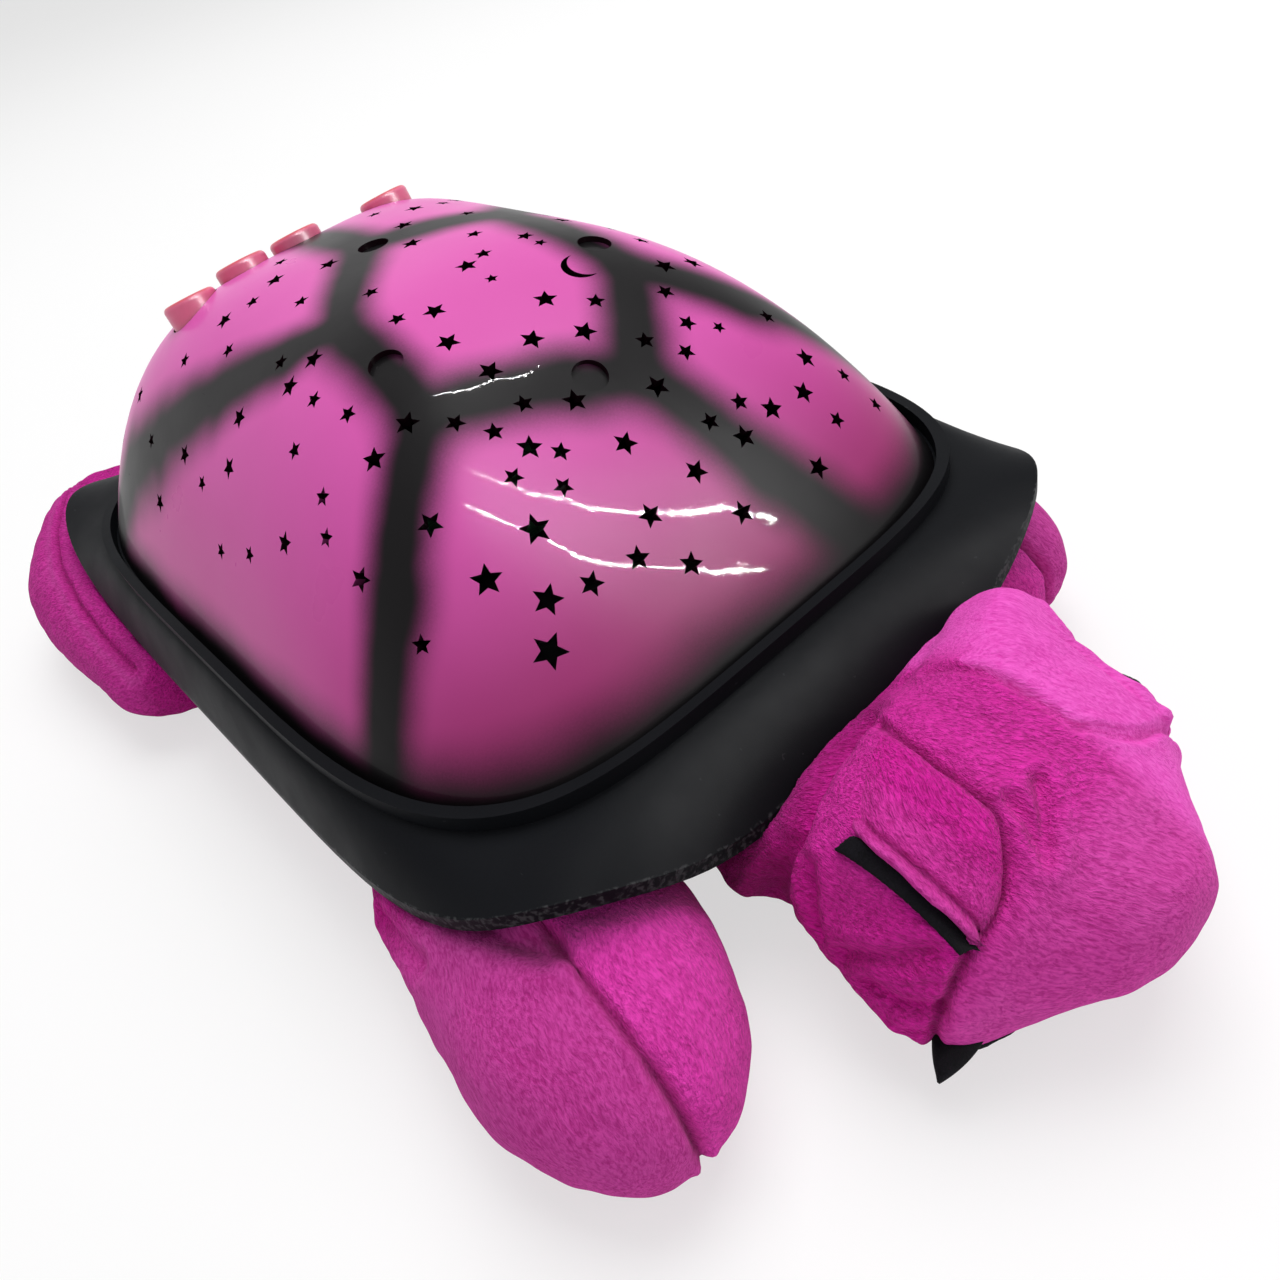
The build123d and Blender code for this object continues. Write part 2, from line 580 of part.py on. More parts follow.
def make_speaker():
    r, throat, coil = SPEAKER_D / 2, SPEAKER_THROAT_D / 2, SPEAKER_COIL_D / 2
    low, rim, top = FLOOR_Z + SEAT_GAP, FLOOR_Z + SPEAKER_FLANGE_T, FLOOR_Z + SPEAKER_DEPTH
    lip = r - SPEAKER_RIB_T
    frame = spun(
        [(lip - 1, low), (r, low), (r, rim), (lip, rim), (throat, top), (coil, top),
         (coil, top - SPEAKER_SKIN), (throat - SPEAKER_SKIN, top - SPEAKER_SKIN),
         (lip - 1, rim - SPEAKER_SKIN / 2)],
        SPEAKER_MID_Y,
    )
    gap = SOFT_GAP
    cone_r = lip - 1 - gap
    cap_low, cap_top = low + CONE_RISE, low + CONE_RISE + SPEAKER_SKIN
    cone = spun(
        [(0, cap_low), (coil - 1, cap_low), (cone_r, low), (cone_r, low + SPEAKER_SKIN),
         (coil - 1, cap_top), (0, cap_top)],
        SPEAKER_MID_Y,
    )
    magnet = rod(MAGNET_D, top + SEAT_GAP, top + SEAT_GAP + MAGNET_H, 0, SHELL_Y + SPEAKER_MID_Y)
    magnet += rod(2 * coil - 2 * gap, low + CONE_RISE + 1, top + 1, 0, SHELL_Y + SPEAKER_MID_Y)
    return frame, cone, magnet


def make_cell(i):
    """One cell with its nub, alternate ends up the row."""
    turn = 0 if i % 2 == 0 else 180
    cell = fillet(rod(CELL_D, 0, CELL_L).edges(), CELL_EDGE_R)
    cell += rod(CELL_NUB_D, CELL_L - 1, CELL_L + CELL_NUB_L)
    lying = Pos(0, -(CELL_L + CELL_NUB_L) / 2, 0) * Rot(-90, 0, 0) * cell
    return Pos((i - 1) * CELL_PITCH, SHELL_Y, CELL_Z) * Rot(0, 0, turn) * lying


def make_contact(i, side):
    """Bowed leaf contact between the end wall of the bay and a cell."""
    wall = BAY_L / 2 - SEAT_GAP
    reach = (CELL_L + CELL_NUB_L) / 2 + CONTACT_T / 2 + SEAT_GAP
    low, high = CELL_Z - CELL_D / 2 + CONTACT_INSET, CELL_Z + CELL_D / 2 - CONTACT_INSET
    back = wall - CONTACT_T / 2
    line = Polyline((back, low), (back, high), (reach, CELL_Z), (back - CONTACT_INSET, low))
    leaf = extrude(Plane.YZ * trace(line, CONTACT_T), amount=CONTACT_W / 2, both=True)
    place = Pos((i - 1) * CELL_PITCH, SHELL_Y, 0)
    return place * (leaf if side > 0 else Rot(0, 0, 180) * leaf)


def make_door():
    high = BAY_LOW_Z - DOOR_SEAT_GAP
    door = block(DOOR_W - 2 * DOOR_FIT, DOOR_L - 2 * DOOR_FIT, WELL_BOTTOM_Z, high, DOOR_MID_Y)
    door = fillet(door.edges().filter_by(Axis.Z), DOOR_EDGE_R)
    for i in range(GRIP_COUNT):
        y = SHELL_Y + DOOR_LOW_Y + GRIP_INSET + GRIP_STEP * i
        door -= Pos(0, y, WELL_BOTTOM_Z) * Box(GRIP_W, GRIP_T, GRIP_T)
    door -= rod(SMALL_SCREW_D + 2 * SCREW_FIT, 0, DEEP, 0, SHELL_Y + DOOR_SCREW_Y)
    return door - rod(SMALL_HEAD_D + 2 * SCREW_FIT, 0, WELL_BOTTOM_Z + DOOR_T / 2, 0, SHELL_Y + DOOR_SCREW_Y)


# Stuffed pieces: lofts through rounded sections that swell and taper.
BODY_TOP_Z = FLANGE_LOW_Z - SCREW_HEAD_H - BODY_TOP_GAP
BODY_LEVELS = ((0.0, 15.0), (7.0, 5.5), (18.0, 0.0), (30.0, 1.0), (BODY_TOP_Z, 6.0))
WINDOW_W = DOOR_W + 2 * WINDOW_MARGIN
WINDOW_L = DOOR_L + 2 * WINDOW_MARGIN
FLAP_W = WINDOW_W + 2 * FLAP_MARGIN
FLAP_L = WINDOW_L + 2 * FLAP_MARGIN
FLAP_TOP_Z = FLAP_LIFT + FLAP_T
RECESS_TOP_Z = FLAP_TOP_Z + 2 * STRIP_T + STRIP_GAP


def body_form(grow=0.0):
    sections = []
    for z, inset in BODY_LEVELS:
        inset -= grow
        w, l = 2 * (BODY_HALF_W - inset), 2 * (BODY_HALF_L - inset)
        outline = RectangleRounded(w, l, BODY_CORNER_R - inset / 2)
        lift = -grow if z == 0 else (grow if z == BODY_TOP_Z else 0)
        sections.append(Pos(0, SHELL_Y, z + lift) * outline)
    return loft(sections)


def make_body():
    pocket = power_outline(WELL_HALF_W + BODY_POCKET_GAP, WELL_HALF_L + BODY_POCKET_GAP, WELL_PLAN_POWER)
    body = body_form() - plate(pocket, WELL_BOTTOM_Z - BODY_POCKET_GAP, DEEP)
    body -= block(WINDOW_W, WINDOW_L, -1, DEEP, DOOR_MID_Y)
    return body - block(FLAP_W + 2 * FLAP_GAP, FLAP_L + 2 * FLAP_GAP, -1, RECESS_TOP_Z, DOOR_MID_Y)


def soft_section(plane, w, low, mid, high):
    """Plump cross-section of a stuffed piece, widest at its middle height."""
    points = []
    for i in range(SOFT_POINTS):
        a = 2 * math.pi * i / SOFT_POINTS
        c, s = math.cos(a), math.sin(a)
        rise = high - mid if s > 0 else mid - low
        across = math.copysign(abs(c) ** (2 / SOFT_POWER), c)
        up = math.copysign(abs(s) ** (2 / SOFT_POWER), s)
        points.append((w / 2 * across, mid + rise * up))
    return plane * make_face(Spline(*points, periodic=True))


def limb(root, aim, sections, side):
    """Stuffed limb that starts inside the body and runs out along its aim."""
    size = math.hypot(*aim)
    dx, dy = side * aim[0] / size, aim[1] / size
    faces = []
    for s, *shape in sections:
        origin = (side * root[0] + s * dx, SHELL_Y + root[1] + s * dy, 0)
        faces.append(soft_section(Plane(origin=origin, x_dir=(-dy, dx, 0), z_dir=(dx, dy, 0)), *shape))
    return loft(faces)


def head_form(grow=0.0):
    """The head, or a surface a little outside it."""
    faces = []
    for reach, w, low, mid, high in HEAD_SECTIONS:
        y = SHELL_Y - reach - (grow if reach == NOSE_REACH else 0)
        plane = Plane(origin=(0, y, 0), x_dir=(1, 0, 0), z_dir=(0, -1, 0))
        faces.append(soft_section(plane, w + 2 * grow, low - grow, mid, high + grow))
    return loft(faces)


def skirt_room():
    """Space that the skirt and what lies above it take from the stuffed pieces."""
    return Pos(0, 0, -SKIRT_T - 3 * SOFT_GAP) * extrude(skirt_ring(SOFT_GAP), amount=DEEP / 2, dir=UP)


def soft_piece(form):
    """Stuffed piece without the room that the floor, the body and the skirt take."""
    piece = form & Pos(0, 0, DEEP / 2) * Box(4 * DEEP, 4 * DEEP, DEEP)
    piece -= body_form(SOFT_GAP)
    return piece - skirt_room()


def slab_on_head(reach, z, slope, thick, lift=0.0):
    """Slanting slab across the head that rises towards the nose."""
    return Pos(0, SHELL_Y - reach, z) * Rot(-slope, 0, 0) * Pos(0, 0, lift) * Box(DEEP, DEEP, thick)


def on_head(thick, tool):
    """Layer of felt or plush on the head, where a tool cuts it out."""
    return (head_form(SOFT_GAP + thick) & tool) - head_form(SOFT_GAP)


def make_face_felts(side):
    """Padded eyelid and the black strip below it, both lying on the side of the head."""
    mid, length = (EYE_NEAR + EYE_FAR) / 2, EYE_FAR - EYE_NEAR
    strip = slab_on_head(mid, EYE_Z, -EYE_SLOPE, EYE_H) & block(DEEP, length, 0, DEEP, -mid, side * DEEP / 2)
    plan = make_face(Polyline(*[(side * x, SHELL_Y - reach) for x, reach in LID_PLAN], close=True))
    lid = plate(plan, 0, DEEP) & slab_on_head(mid, EYE_Z, -EYE_SLOPE, DEEP, EYE_H / 2 + SOFT_GAP + DEEP / 2)
    return on_head(LID_T, lid), on_head(FELT_T, strip)


def make_mouth():
    """Black felt mouth line round the snout, with a leaf-shaped tip at each cheek."""
    slab = slab_on_head(MOUTH_REACH, MOUTH_Z, MOUTH_SLOPE, MOUTH_H)
    line = on_head(FELT_T, slab & block(DEEP, DEEP, 0, DEEP, -MOUTH_REACH - DEEP / 2))
    cheek = block(DEEP, MOUTH_TIP_L, 0, DEEP, -MOUTH_REACH - MOUTH_TIP_L / 2)
    return line + on_head(MOUTH_TIP, slab & cheek)


def make_flap():
    flap = block(FLAP_W, FLAP_L, FLAP_LIFT, FLAP_TOP_Z, DOOR_MID_Y)
    return fillet(flap.edges().filter_by(Axis.Z), FLAP_MARGIN / 2)


nodes = {}
nodes["shell_dome"] = make_dome()
nodes["shell_skirt"] = make_skirt()
nodes["base_tray"] = make_tray()
shell_screw = pan_screw(SCREW_D, SCREW_HEAD_D, SCREW_HEAD_H, FLANGE_T + SKIRT_T + 2 * SEAT_GAP + SCREW_BITE)
nodes["housing_screws"] = group(Pos(x, SHELL_Y + y, FLANGE_LOW_Z) * shell_screw for x, y in BOSS_PLACES)

cap_room = dome_under(DOME_WALL, BUTTON_FIT)
BUTTON_NAMES = ("colour_button_1", "colour_button_2", "colour_button_3", "music_button")
for i, (name, x) in enumerate(zip(BUTTON_NAMES, BUTTON_X)):
    nodes[name] = make_button(x, cap_room)
    plunger = rod(PLUNGER_D, SWITCH_TOP - PLUNGER_SUNK, STEM_END)
    nodes["button_plunger_%d" % (i + 1)] = in_button_frame(plunger, x)
nodes["switch_bodies"] = group(make_switch(x) for x in BUTTON_X)
nodes["switch_board"] = make_switch_board()
board_screw = pan_screw(SMALL_SCREW_D, SMALL_HEAD_D, SMALL_HEAD_H, BOARD_T + SMALL_BITE)
nodes["switch_board_screws"] = group(
    in_button_frame(board_screw, x, BOARD_TOP - BOARD_T) for x in SWITCH_POST_X
)

LAMP_TOP_Z = LAMP_BOARD_Z + BOARD_T
nodes["lamp_board"] = make_lamp_board()
for i, colour in enumerate(("red", "green", "blue", "amber")):
    nodes["lamp_" + colour] = make_led(i)
nodes["lamp_board_screws"] = group(
    Pos(x, SHELL_Y + y, LAMP_TOP_Z) * Rot(180, 0, 0) * board_screw for x, y in LAMP_POSTS
)
chip = rod(CHIP_D, LAMP_TOP_Z, LAMP_TOP_Z + CHIP_H, LAMP_BOARD_W / 4, SHELL_Y - LAMP_BOARD_L / 5)
nodes["sound_chip"] = fillet(chip.edges().group_by(Axis.Z)[-1], CHIP_H * 0.9)
capacitor_top = LAMP_TOP_Z + CAPACITOR_H
capacitor = rod(CAPACITOR_D, LAMP_TOP_Z, capacitor_top, -LAMP_BOARD_W / 4, SHELL_Y + LAMP_BOARD_L / 5)
nodes["capacitor"] = fillet(capacitor.edges().group_by(Axis.Z)[-1], CAPACITOR_EDGE_R)

nodes["speaker_frame"], nodes["speaker_cone"], nodes["speaker_magnet"] = make_speaker()
washer = rod(CLAMP_D, SPEAKER_TOP_Z + SEAT_GAP, SPEAKER_TOP_Z + SEAT_GAP + CLAMP_T)
washer -= rod(SMALL_SCREW_D + 2 * SCREW_FIT, 0, DEEP)
nodes["speaker_clamps"] = group(Pos(x, SHELL_Y + y, 0) * washer for x, y in CLAMP_PLACES)
clamp_screw = pan_screw(SMALL_SCREW_D, SMALL_HEAD_D, SMALL_HEAD_H, CLAMP_T + SPEAKER_FLANGE_T + CLAMP_BITE)
nodes["speaker_screws"] = group(
    Pos(x, SHELL_Y + y, SPEAKER_TOP_Z + SEAT_GAP + CLAMP_T) * Rot(180, 0, 0) * clamp_screw
    for x, y in CLAMP_PLACES
)

nodes["battery_cells"] = group(make_cell(i) for i in range(3))
nodes["battery_contacts"] = group(make_contact(i, side) for i in range(3) for side in (-1, 1))
nodes["battery_door"] = make_door()
nodes["battery_door_screw"] = Pos(0, SHELL_Y + DOOR_SCREW_Y, WELL_BOTTOM_Z + DOOR_T / 2) * board_screw

nodes["plush_body"] = make_body()
nodes["plush_head"] = soft_piece(head_form())
for side, hand in ((-1, "right"), (1, "left")):
    front = limb(FRONT_ROOTS[hand], FRONT_AIMS[hand], FRONT_SECTIONS, side)
    nodes["front_flipper_" + hand] = soft_piece(front)
    nodes["rear_flipper_" + hand] = soft_piece(limb(REAR_ROOT, REAR_AIM, REAR_SECTIONS, side))
    nodes["eyelid_" + hand], nodes["eye_strip_" + hand] = make_face_felts(side)
nodes["mouth_felt"] = make_mouth()
nodes["belly_flap"] = make_flap()
strip_y = DOOR_MID_Y + FLAP_L / 2 - FLAP_MARGIN / 2
nodes["hook_strip"] = block(WINDOW_W, STRIP_W, FLAP_TOP_Z, FLAP_TOP_Z + STRIP_T, strip_y)
nodes["loop_strip"] = block(WINDOW_W, STRIP_W, RECESS_TOP_Z - STRIP_T, RECESS_TOP_Z, strip_y)

for name, shape in nodes.items():
    export_step(shape, "parts/%s.step" % name)
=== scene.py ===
import bpy
import bmesh
import json
import math
import numpy as np
from mathutils import Matrix, Vector, noise
from mathutils.bvhtree import BVHTree


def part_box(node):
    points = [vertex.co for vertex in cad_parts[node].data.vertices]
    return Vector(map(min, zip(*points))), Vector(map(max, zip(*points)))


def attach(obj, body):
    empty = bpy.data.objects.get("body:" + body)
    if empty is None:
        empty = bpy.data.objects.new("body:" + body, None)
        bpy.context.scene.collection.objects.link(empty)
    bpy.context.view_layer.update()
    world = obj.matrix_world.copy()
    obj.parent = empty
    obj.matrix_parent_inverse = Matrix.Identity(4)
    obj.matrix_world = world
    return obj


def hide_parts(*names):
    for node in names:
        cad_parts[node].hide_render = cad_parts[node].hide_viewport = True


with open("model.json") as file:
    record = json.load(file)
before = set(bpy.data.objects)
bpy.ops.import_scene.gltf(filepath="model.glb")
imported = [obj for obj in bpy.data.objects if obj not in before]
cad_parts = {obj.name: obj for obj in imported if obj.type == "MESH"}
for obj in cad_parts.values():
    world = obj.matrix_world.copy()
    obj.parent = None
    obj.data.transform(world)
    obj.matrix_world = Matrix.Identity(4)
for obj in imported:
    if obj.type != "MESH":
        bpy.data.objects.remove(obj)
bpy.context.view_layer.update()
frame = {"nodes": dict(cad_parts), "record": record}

# Musical night light: a stuffed turtle with a star-pierced shell. Metres, in the frame of the solids.
MM = 0.001
scene = bpy.context.scene
scene.view_settings.view_transform = "Standard"
nodes = frame["nodes"]
dome_low, dome_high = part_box("shell_dome")
SHELL_Y = (dome_low[1] + dome_high[1]) / 2
BASE_Z = dome_low[2]


# Node building

def add(tree, kind, values=None, **settings):
    """A shader node with its settings, and its inputs set or linked."""
    node = tree.nodes.new(kind)
    for key, value in settings.items():
        setattr(node, key, value)
    for key, value in (values or {}).items():
        if isinstance(value, bpy.types.NodeSocket):
            tree.links.new(value, node.inputs[key])
        else:
            node.inputs[key].default_value = value
    return node


def calc(tree, operation, a, b=0.0, c=0.0):
    return add(tree, "ShaderNodeMath", {0: a, 1: b, 2: c}, operation=operation).outputs[0]


def vector(tree, operation, a, b):
    node = add(tree, "ShaderNodeVectorMath", {0: a, 1: b}, operation=operation)
    return node.outputs["Value" if operation in ("DOT_PRODUCT", "DISTANCE") else "Vector"]


def step(tree, value, start, end, low=0.0, high=1.0):
    """Smooth step from low at start to high at end."""
    values = {"Value": value, "From Min": start, "From Max": end, "To Min": low, "To Max": high}
    return add(tree, "ShaderNodeMapRange", values, interpolation_type="SMOOTHSTEP").outputs["Result"]


def mix(tree, factor, a, b):
    return add(tree, "ShaderNodeMix", {0: factor, 6: a, 7: b}, data_type="RGBA").outputs[2]


def place(tree):
    return add(tree, "ShaderNodeTexCoord").outputs["Object"]


def speckle(tree, where, scale, detail=2.0, distortion=0.0, rough=0.5):
    values = {"Vector": where, "Scale": scale, "Detail": detail, "Distortion": distortion, "Roughness": rough}
    return add(tree, "ShaderNodeTexNoise", values).outputs["Fac"]


def bump(tree, height, distance, strength=1.0, below=None):
    values = {"Height": height, "Distance": distance, "Strength": strength}
    if below is not None:
        values["Normal"] = below
    return add(tree, "ShaderNodeBump", values).outputs["Normal"]


def material(name):
    made = bpy.data.materials.new(name)
    made.use_nodes = True
    made.node_tree.nodes.clear()
    return made, made.node_tree


def surface(tree, **values):
    shader = add(tree, "ShaderNodeBsdfPrincipled", {key.replace("_", " "): v for key, v in values.items()})
    out = add(tree, "ShaderNodeOutputMaterial")
    tree.links.new(shader.outputs[0], out.inputs[0])


def rgb(r, g, b):
    return (r, g, b, 1.0)


# Materials of the hard pieces

# Black bands of the dome in plan, in millimetres from the shell's middle
HEXAGON = ((8, -70), (-3.8, -65), (-29, -55), (-24.5, -22), (-1, 5), (26, -10), (24.7, -51.7))
RAYS = (
    ((8, -70), (16, -89), (29, -104)),
    ((-29, -55), (-52, -68), (-78, -73)),
    ((24.7, -51.7), (40, -66), (78, -80)),
    ((-24.5, -22), (-33, -14), (-44, 5), (-55, 30), (-62, 52), (-78, 84)),
    ((26, -10), (34, -4), (46, 12), (57, 34), (64, 55), (78, 86)),
    ((-1, 5), (0, 108)),
)


def plan_distance(tree, where, a, b):
    """Distance in plan from the line between two points, which are in millimetres from the shell's middle."""
    start = Vector((a[0] * MM, SHELL_Y + a[1] * MM, 0))
    run = Vector(((b[0] - a[0]) * MM, (b[1] - a[1]) * MM, 0))
    flat = vector(tree, "MULTIPLY", where, (1, 1, 0))
    offset = vector(tree, "SUBTRACT", flat, start)
    share = vector(tree, "DOT_PRODUCT", offset, run / run.length_squared)
    along = add(tree, "ShaderNodeMath", {0: share, 1: 0.0}, operation="ADD", use_clamp=True).outputs[0]
    scaled = add(tree, "ShaderNodeVectorMath", {0: run, "Scale": along}, operation="SCALE").outputs["Vector"]
    return vector(tree, "DISTANCE", offset, scaled)


def dome_plastic():
    made, tree = material("dome_pink_sprayed")
    where = place(tree)
    ends = list(zip(HEXAGON, HEXAGON[1:] + HEXAGON[:1]))
    for ray in RAYS:
        ends.extend(zip(ray[:-1], ray[1:]))
    near = None
    for a, b in ends:
        distance = plan_distance(tree, where, a, b)
        near = distance if near is None else calc(tree, "SMOOTH_MIN", near, distance, 0.004)
    wander = calc(tree, "MULTIPLY_ADD", speckle(tree, where, 60, 2), 0.0024, -0.0012)
    near = calc(tree, "ADD", near, wander)
    band = step(tree, near, 0.0108, 0.0022)
    up = add(tree, "ShaderNodeSeparateXYZ", {0: where}).outputs["Z"]
    up = calc(tree, "ADD", up, calc(tree, "MULTIPLY_ADD", speckle(tree, where, 28, 2), 0.008, -0.004))
    rim = step(tree, up, BASE_Z + 0.0145, BASE_Z + 0.0020)
    spray = calc(tree, "SUBTRACT", 1.0, calc(tree, "MULTIPLY", calc(tree, "SUBTRACT", 1.0, band),
                                             calc(tree, "SUBTRACT", 1.0, rim)))
    mist = speckle(tree, where, 2600, 1)
    edge = calc(tree, "MULTIPLY", spray, calc(tree, "SUBTRACT", 1.0, spray))
    spray = add(tree, "ShaderNodeMath", {0: calc(tree, "MULTIPLY_ADD", mist, 0.6, -0.3), 1: edge, 2: spray},
                operation="MULTIPLY_ADD", use_clamp=True).outputs[0]
    cloud = speckle(tree, where, 22, 2)
    pink = mix(tree, cloud, rgb(0.66, 0.085, 0.40), rgb(0.76, 0.13, 0.49))
    # Painted shade: the pink darkens to maroon low on the dome, darkest at the foot of the front panel.
    ahead = calc(tree, "SUBTRACT", SHELL_Y, add(tree, "ShaderNodeSeparateXYZ", {0: where}).outputs["Y"])
    foot = step(tree, up, BASE_Z + 0.042, BASE_Z + 0.006)
    front_foot_shade = calc(tree, "MULTIPLY", foot, step(tree, ahead, 0.045, 0.095))
    low = step(tree, up, BASE_Z + 0.052, BASE_Z + 0.008, 0.0, 0.62)
    pink = mix(tree, low, pink, rgb(0.50, 0.048, 0.25))
    pink = mix(tree, calc(tree, "MULTIPLY", front_foot_shade, 0.72), pink, rgb(0.27, 0.022, 0.105))
    black = mix(tree, cloud, rgb(0.0035, 0.003, 0.0035), rgb(0.008, 0.007, 0.008))
    colour = mix(tree, spray, pink, black)
    # Painted shade: faces that look into the dome are near black.
    outward = vector(tree, "SUBTRACT", where, (0, SHELL_Y, BASE_Z - 0.02))
    facing = vector(tree, "DOT_PRODUCT", add(tree, "ShaderNodeNewGeometry").outputs["Normal"], outward)
    colour = mix(tree, step(tree, facing, 0.046, 0.030), colour, rgb(0.010, 0.002, 0.005))
    scratch = speckle(tree, vector(tree, "MULTIPLY", where, (2600, 170, 700)), 1.0, 1)
    marks = step(tree, scratch, 0.74, 0.80, 0.0, 0.10)
    wear = speckle(tree, where, 55, 4)
    gloss = calc(tree, "MULTIPLY_ADD", wear, 0.16, calc(tree, "MULTIPLY_ADD", spray, 0.06, 0.22))
    gloss = calc(tree, "ADD", gloss, marks)
    waves = bump(tree, speckle(tree, where, 60, 1), 0.0003, 0.12)
    ripple = bump(tree, speckle(tree, where, 700, 2), 0.000007, 1.0, waves)
    grain = bump(tree, scratch, 0.000006, 0.6, ripple)
    surface(tree, Base_Color=colour, Roughness=gloss, Normal=grain, Coat_Normal=ripple,
            Specular_IOR_Level=0.06, Coat_Weight=0.09, Coat_Roughness=0.022)
    return made


def skirt_plastic():
    made, tree = material("skirt_satin_black")
    where = place(tree)
    part = add(tree, "ShaderNodeSeparateXYZ", {0: where})
    x, y = part.outputs["X"], calc(tree, "SUBTRACT", part.outputs["Y"], SHELL_Y)
    half_l = calc(tree, "MULTIPLY_ADD", calc(tree, "SIGN", y), 0.005, 0.127)
    across = calc(tree, "POWER", calc(tree, "DIVIDE", calc(tree, "ABSOLUTE", x), 0.0832), 5.7)
    along = calc(tree, "POWER", calc(tree, "DIVIDE", calc(tree, "ABSOLUTE", y), half_l), 5.7)
    outline = calc(tree, "POWER", calc(tree, "ADD", across, along), 1 / 5.7)
    rub = speckle(tree, where, 900, 3, 0.4)
    wear_and_sheen = calc(tree, "MULTIPLY", step(tree, outline, 0.9965, 0.9990), step(tree, rub, 0.46, 0.66))
    cloud = speckle(tree, where, 34, 3)
    colour = mix(tree, cloud, rgb(0.0042, 0.0046, 0.0058), rgb(0.0080, 0.0086, 0.0105))
    threads = speckle(tree, vector(tree, "MULTIPLY", where, (900, 260, 900)), 1.0, 1)
    lint = step(tree, threads, 0.77, 0.81, 0.0, 0.16)
    colour = mix(tree, lint, colour, rgb(0.08, 0.084, 0.088))
    colour = mix(tree, calc(tree, "MULTIPLY", wear_and_sheen, 0.45), colour, rgb(0.085, 0.087, 0.09))
    gloss = calc(tree, "MULTIPLY_ADD", speckle(tree, where, 90, 4), 0.20, 0.36)
    moulded = bump(tree, speckle(tree, where, 3200, 2), 0.00004, 0.4)
    surface(tree, Base_Color=colour, Roughness=gloss, Normal=moulded, Specular_IOR_Level=0.03)
    return made


def plain_plastic(name, dark, light, rough, grain=2600, depth=0.00005):
    """Moulded plastic with a fine grain and a slightly uneven colour and gloss."""
    made, tree = material(name)
    where = place(tree)
    cloud = speckle(tree, where, 90, 3)
    colour = mix(tree, cloud, rgb(*dark), rgb(*light))
    gloss = calc(tree, "MULTIPLY_ADD", speckle(tree, where, 300, 3), 0.16, rough - 0.08)
    normal = bump(tree, speckle(tree, where, grain, 2), depth, 0.5)
    surface(tree, Base_Color=colour, Roughness=gloss, Normal=normal, IOR=1.48)
    return made


# Against the press direction of the buttons
CAP_UP = (0, 0.316893, 0.948461)


def button_plastic():
    """Coral caps, pinker down their sides."""
    made, tree = material("button_coral")
    where = place(tree)
    normal = add(tree, "ShaderNodeNewGeometry").outputs["Normal"]
    tilt = vector(tree, "DOT_PRODUCT", normal, CAP_UP)
    top = step(tree, tilt, 0.35, 0.95)
    cloud = speckle(tree, where, 160, 3)
    crown = mix(tree, cloud, rgb(0.56, 0.036, 0.060), rgb(0.68, 0.060, 0.085))
    side = mix(tree, cloud, rgb(0.70, 0.11, 0.22), rgb(0.78, 0.16, 0.30))
    gloss = calc(tree, "MULTIPLY_ADD", speckle(tree, where, 420, 4), 0.18, 0.24)
    normal = bump(tree, speckle(tree, where, 1800, 2), 0.00005, 0.5)
    surface(tree, Base_Color=mix(tree, top, side, crown), Roughness=gloss, Normal=normal, IOR=1.49)
    return made


def metal(name, dark, light, rough):
    """Plated metal with fine drawing lines."""
    made, tree = material(name)
    where = place(tree)
    lines = speckle(tree, vector(tree, "MULTIPLY", where, (4200, 4200, 380)), 1.0, 2)
    colour = mix(tree, lines, rgb(*dark), rgb(*light))
    gloss = calc(tree, "MULTIPLY_ADD", speckle(tree, where, 700, 3), 0.2, rough - 0.1)
    surface(tree, Base_Color=colour, Roughness=gloss, Normal=bump(tree, lines, 0.00003, 0.4), Metallic=1.0)
    return made


def circuit():
    """Green lacquer over copper tracks."""
    made, tree = material("board_lacquer")
    where = place(tree)
    cells = add(tree, "ShaderNodeTexVoronoi", {"Vector": where, "Scale": 260.0}, distance="CHEBYCHEV",
                feature="F1").outputs["Distance"]
    track = step(tree, calc(tree, "PINGPONG", calc(tree, "MULTIPLY", cells, 4.0), 0.5), 0.30, 0.36)
    cloud = speckle(tree, where, 120, 3)
    lacquer = mix(tree, cloud, rgb(0.012, 0.090, 0.034), rgb(0.020, 0.130, 0.050))
    colour = mix(tree, track, lacquer, rgb(0.035, 0.20, 0.075))
    gloss = calc(tree, "MULTIPLY_ADD", cloud, 0.14, 0.24)
    surface(tree, Base_Color=colour, Roughness=gloss, Normal=bump(tree, track, 0.00004, 0.6), IOR=1.5)
    return made


def tinted(name, dark, light):
    """Clear tinted lamp resin."""
    made, tree = material(name)
    where = place(tree)
    cloud = speckle(tree, where, 600, 2)
    colour = mix(tree, cloud, rgb(*dark), rgb(*light))
    gloss = calc(tree, "MULTIPLY_ADD", speckle(tree, where, 900, 2), 0.08, 0.04)
    surface(tree, Base_Color=colour, Roughness=gloss, IOR=1.52, Transmission_Weight=0.55, Coat_Weight=0.4)
    return made


def fibre(name, dark, light, scale, depth, sheen=0.15):
    """Felt, paper or tape: matted fibres."""
    made, tree = material(name)
    where = place(tree)
    mat = speckle(tree, where, scale, 4, 1.2, 0.65)
    clump = speckle(tree, where, scale / 6, 2)
    blend = calc(tree, "MULTIPLY_ADD", mat, 0.7, calc(tree, "MULTIPLY", clump, 0.3))
    colour = mix(tree, step(tree, blend, 0.3, 0.7), rgb(*dark), rgb(*light))
    surface(tree, Base_Color=colour, Roughness=0.95, Normal=bump(tree, mat, depth, 0.9), Sheen_Weight=sheen,
            Sheen_Roughness=0.5, Specular_IOR_Level=0.1)
    return made


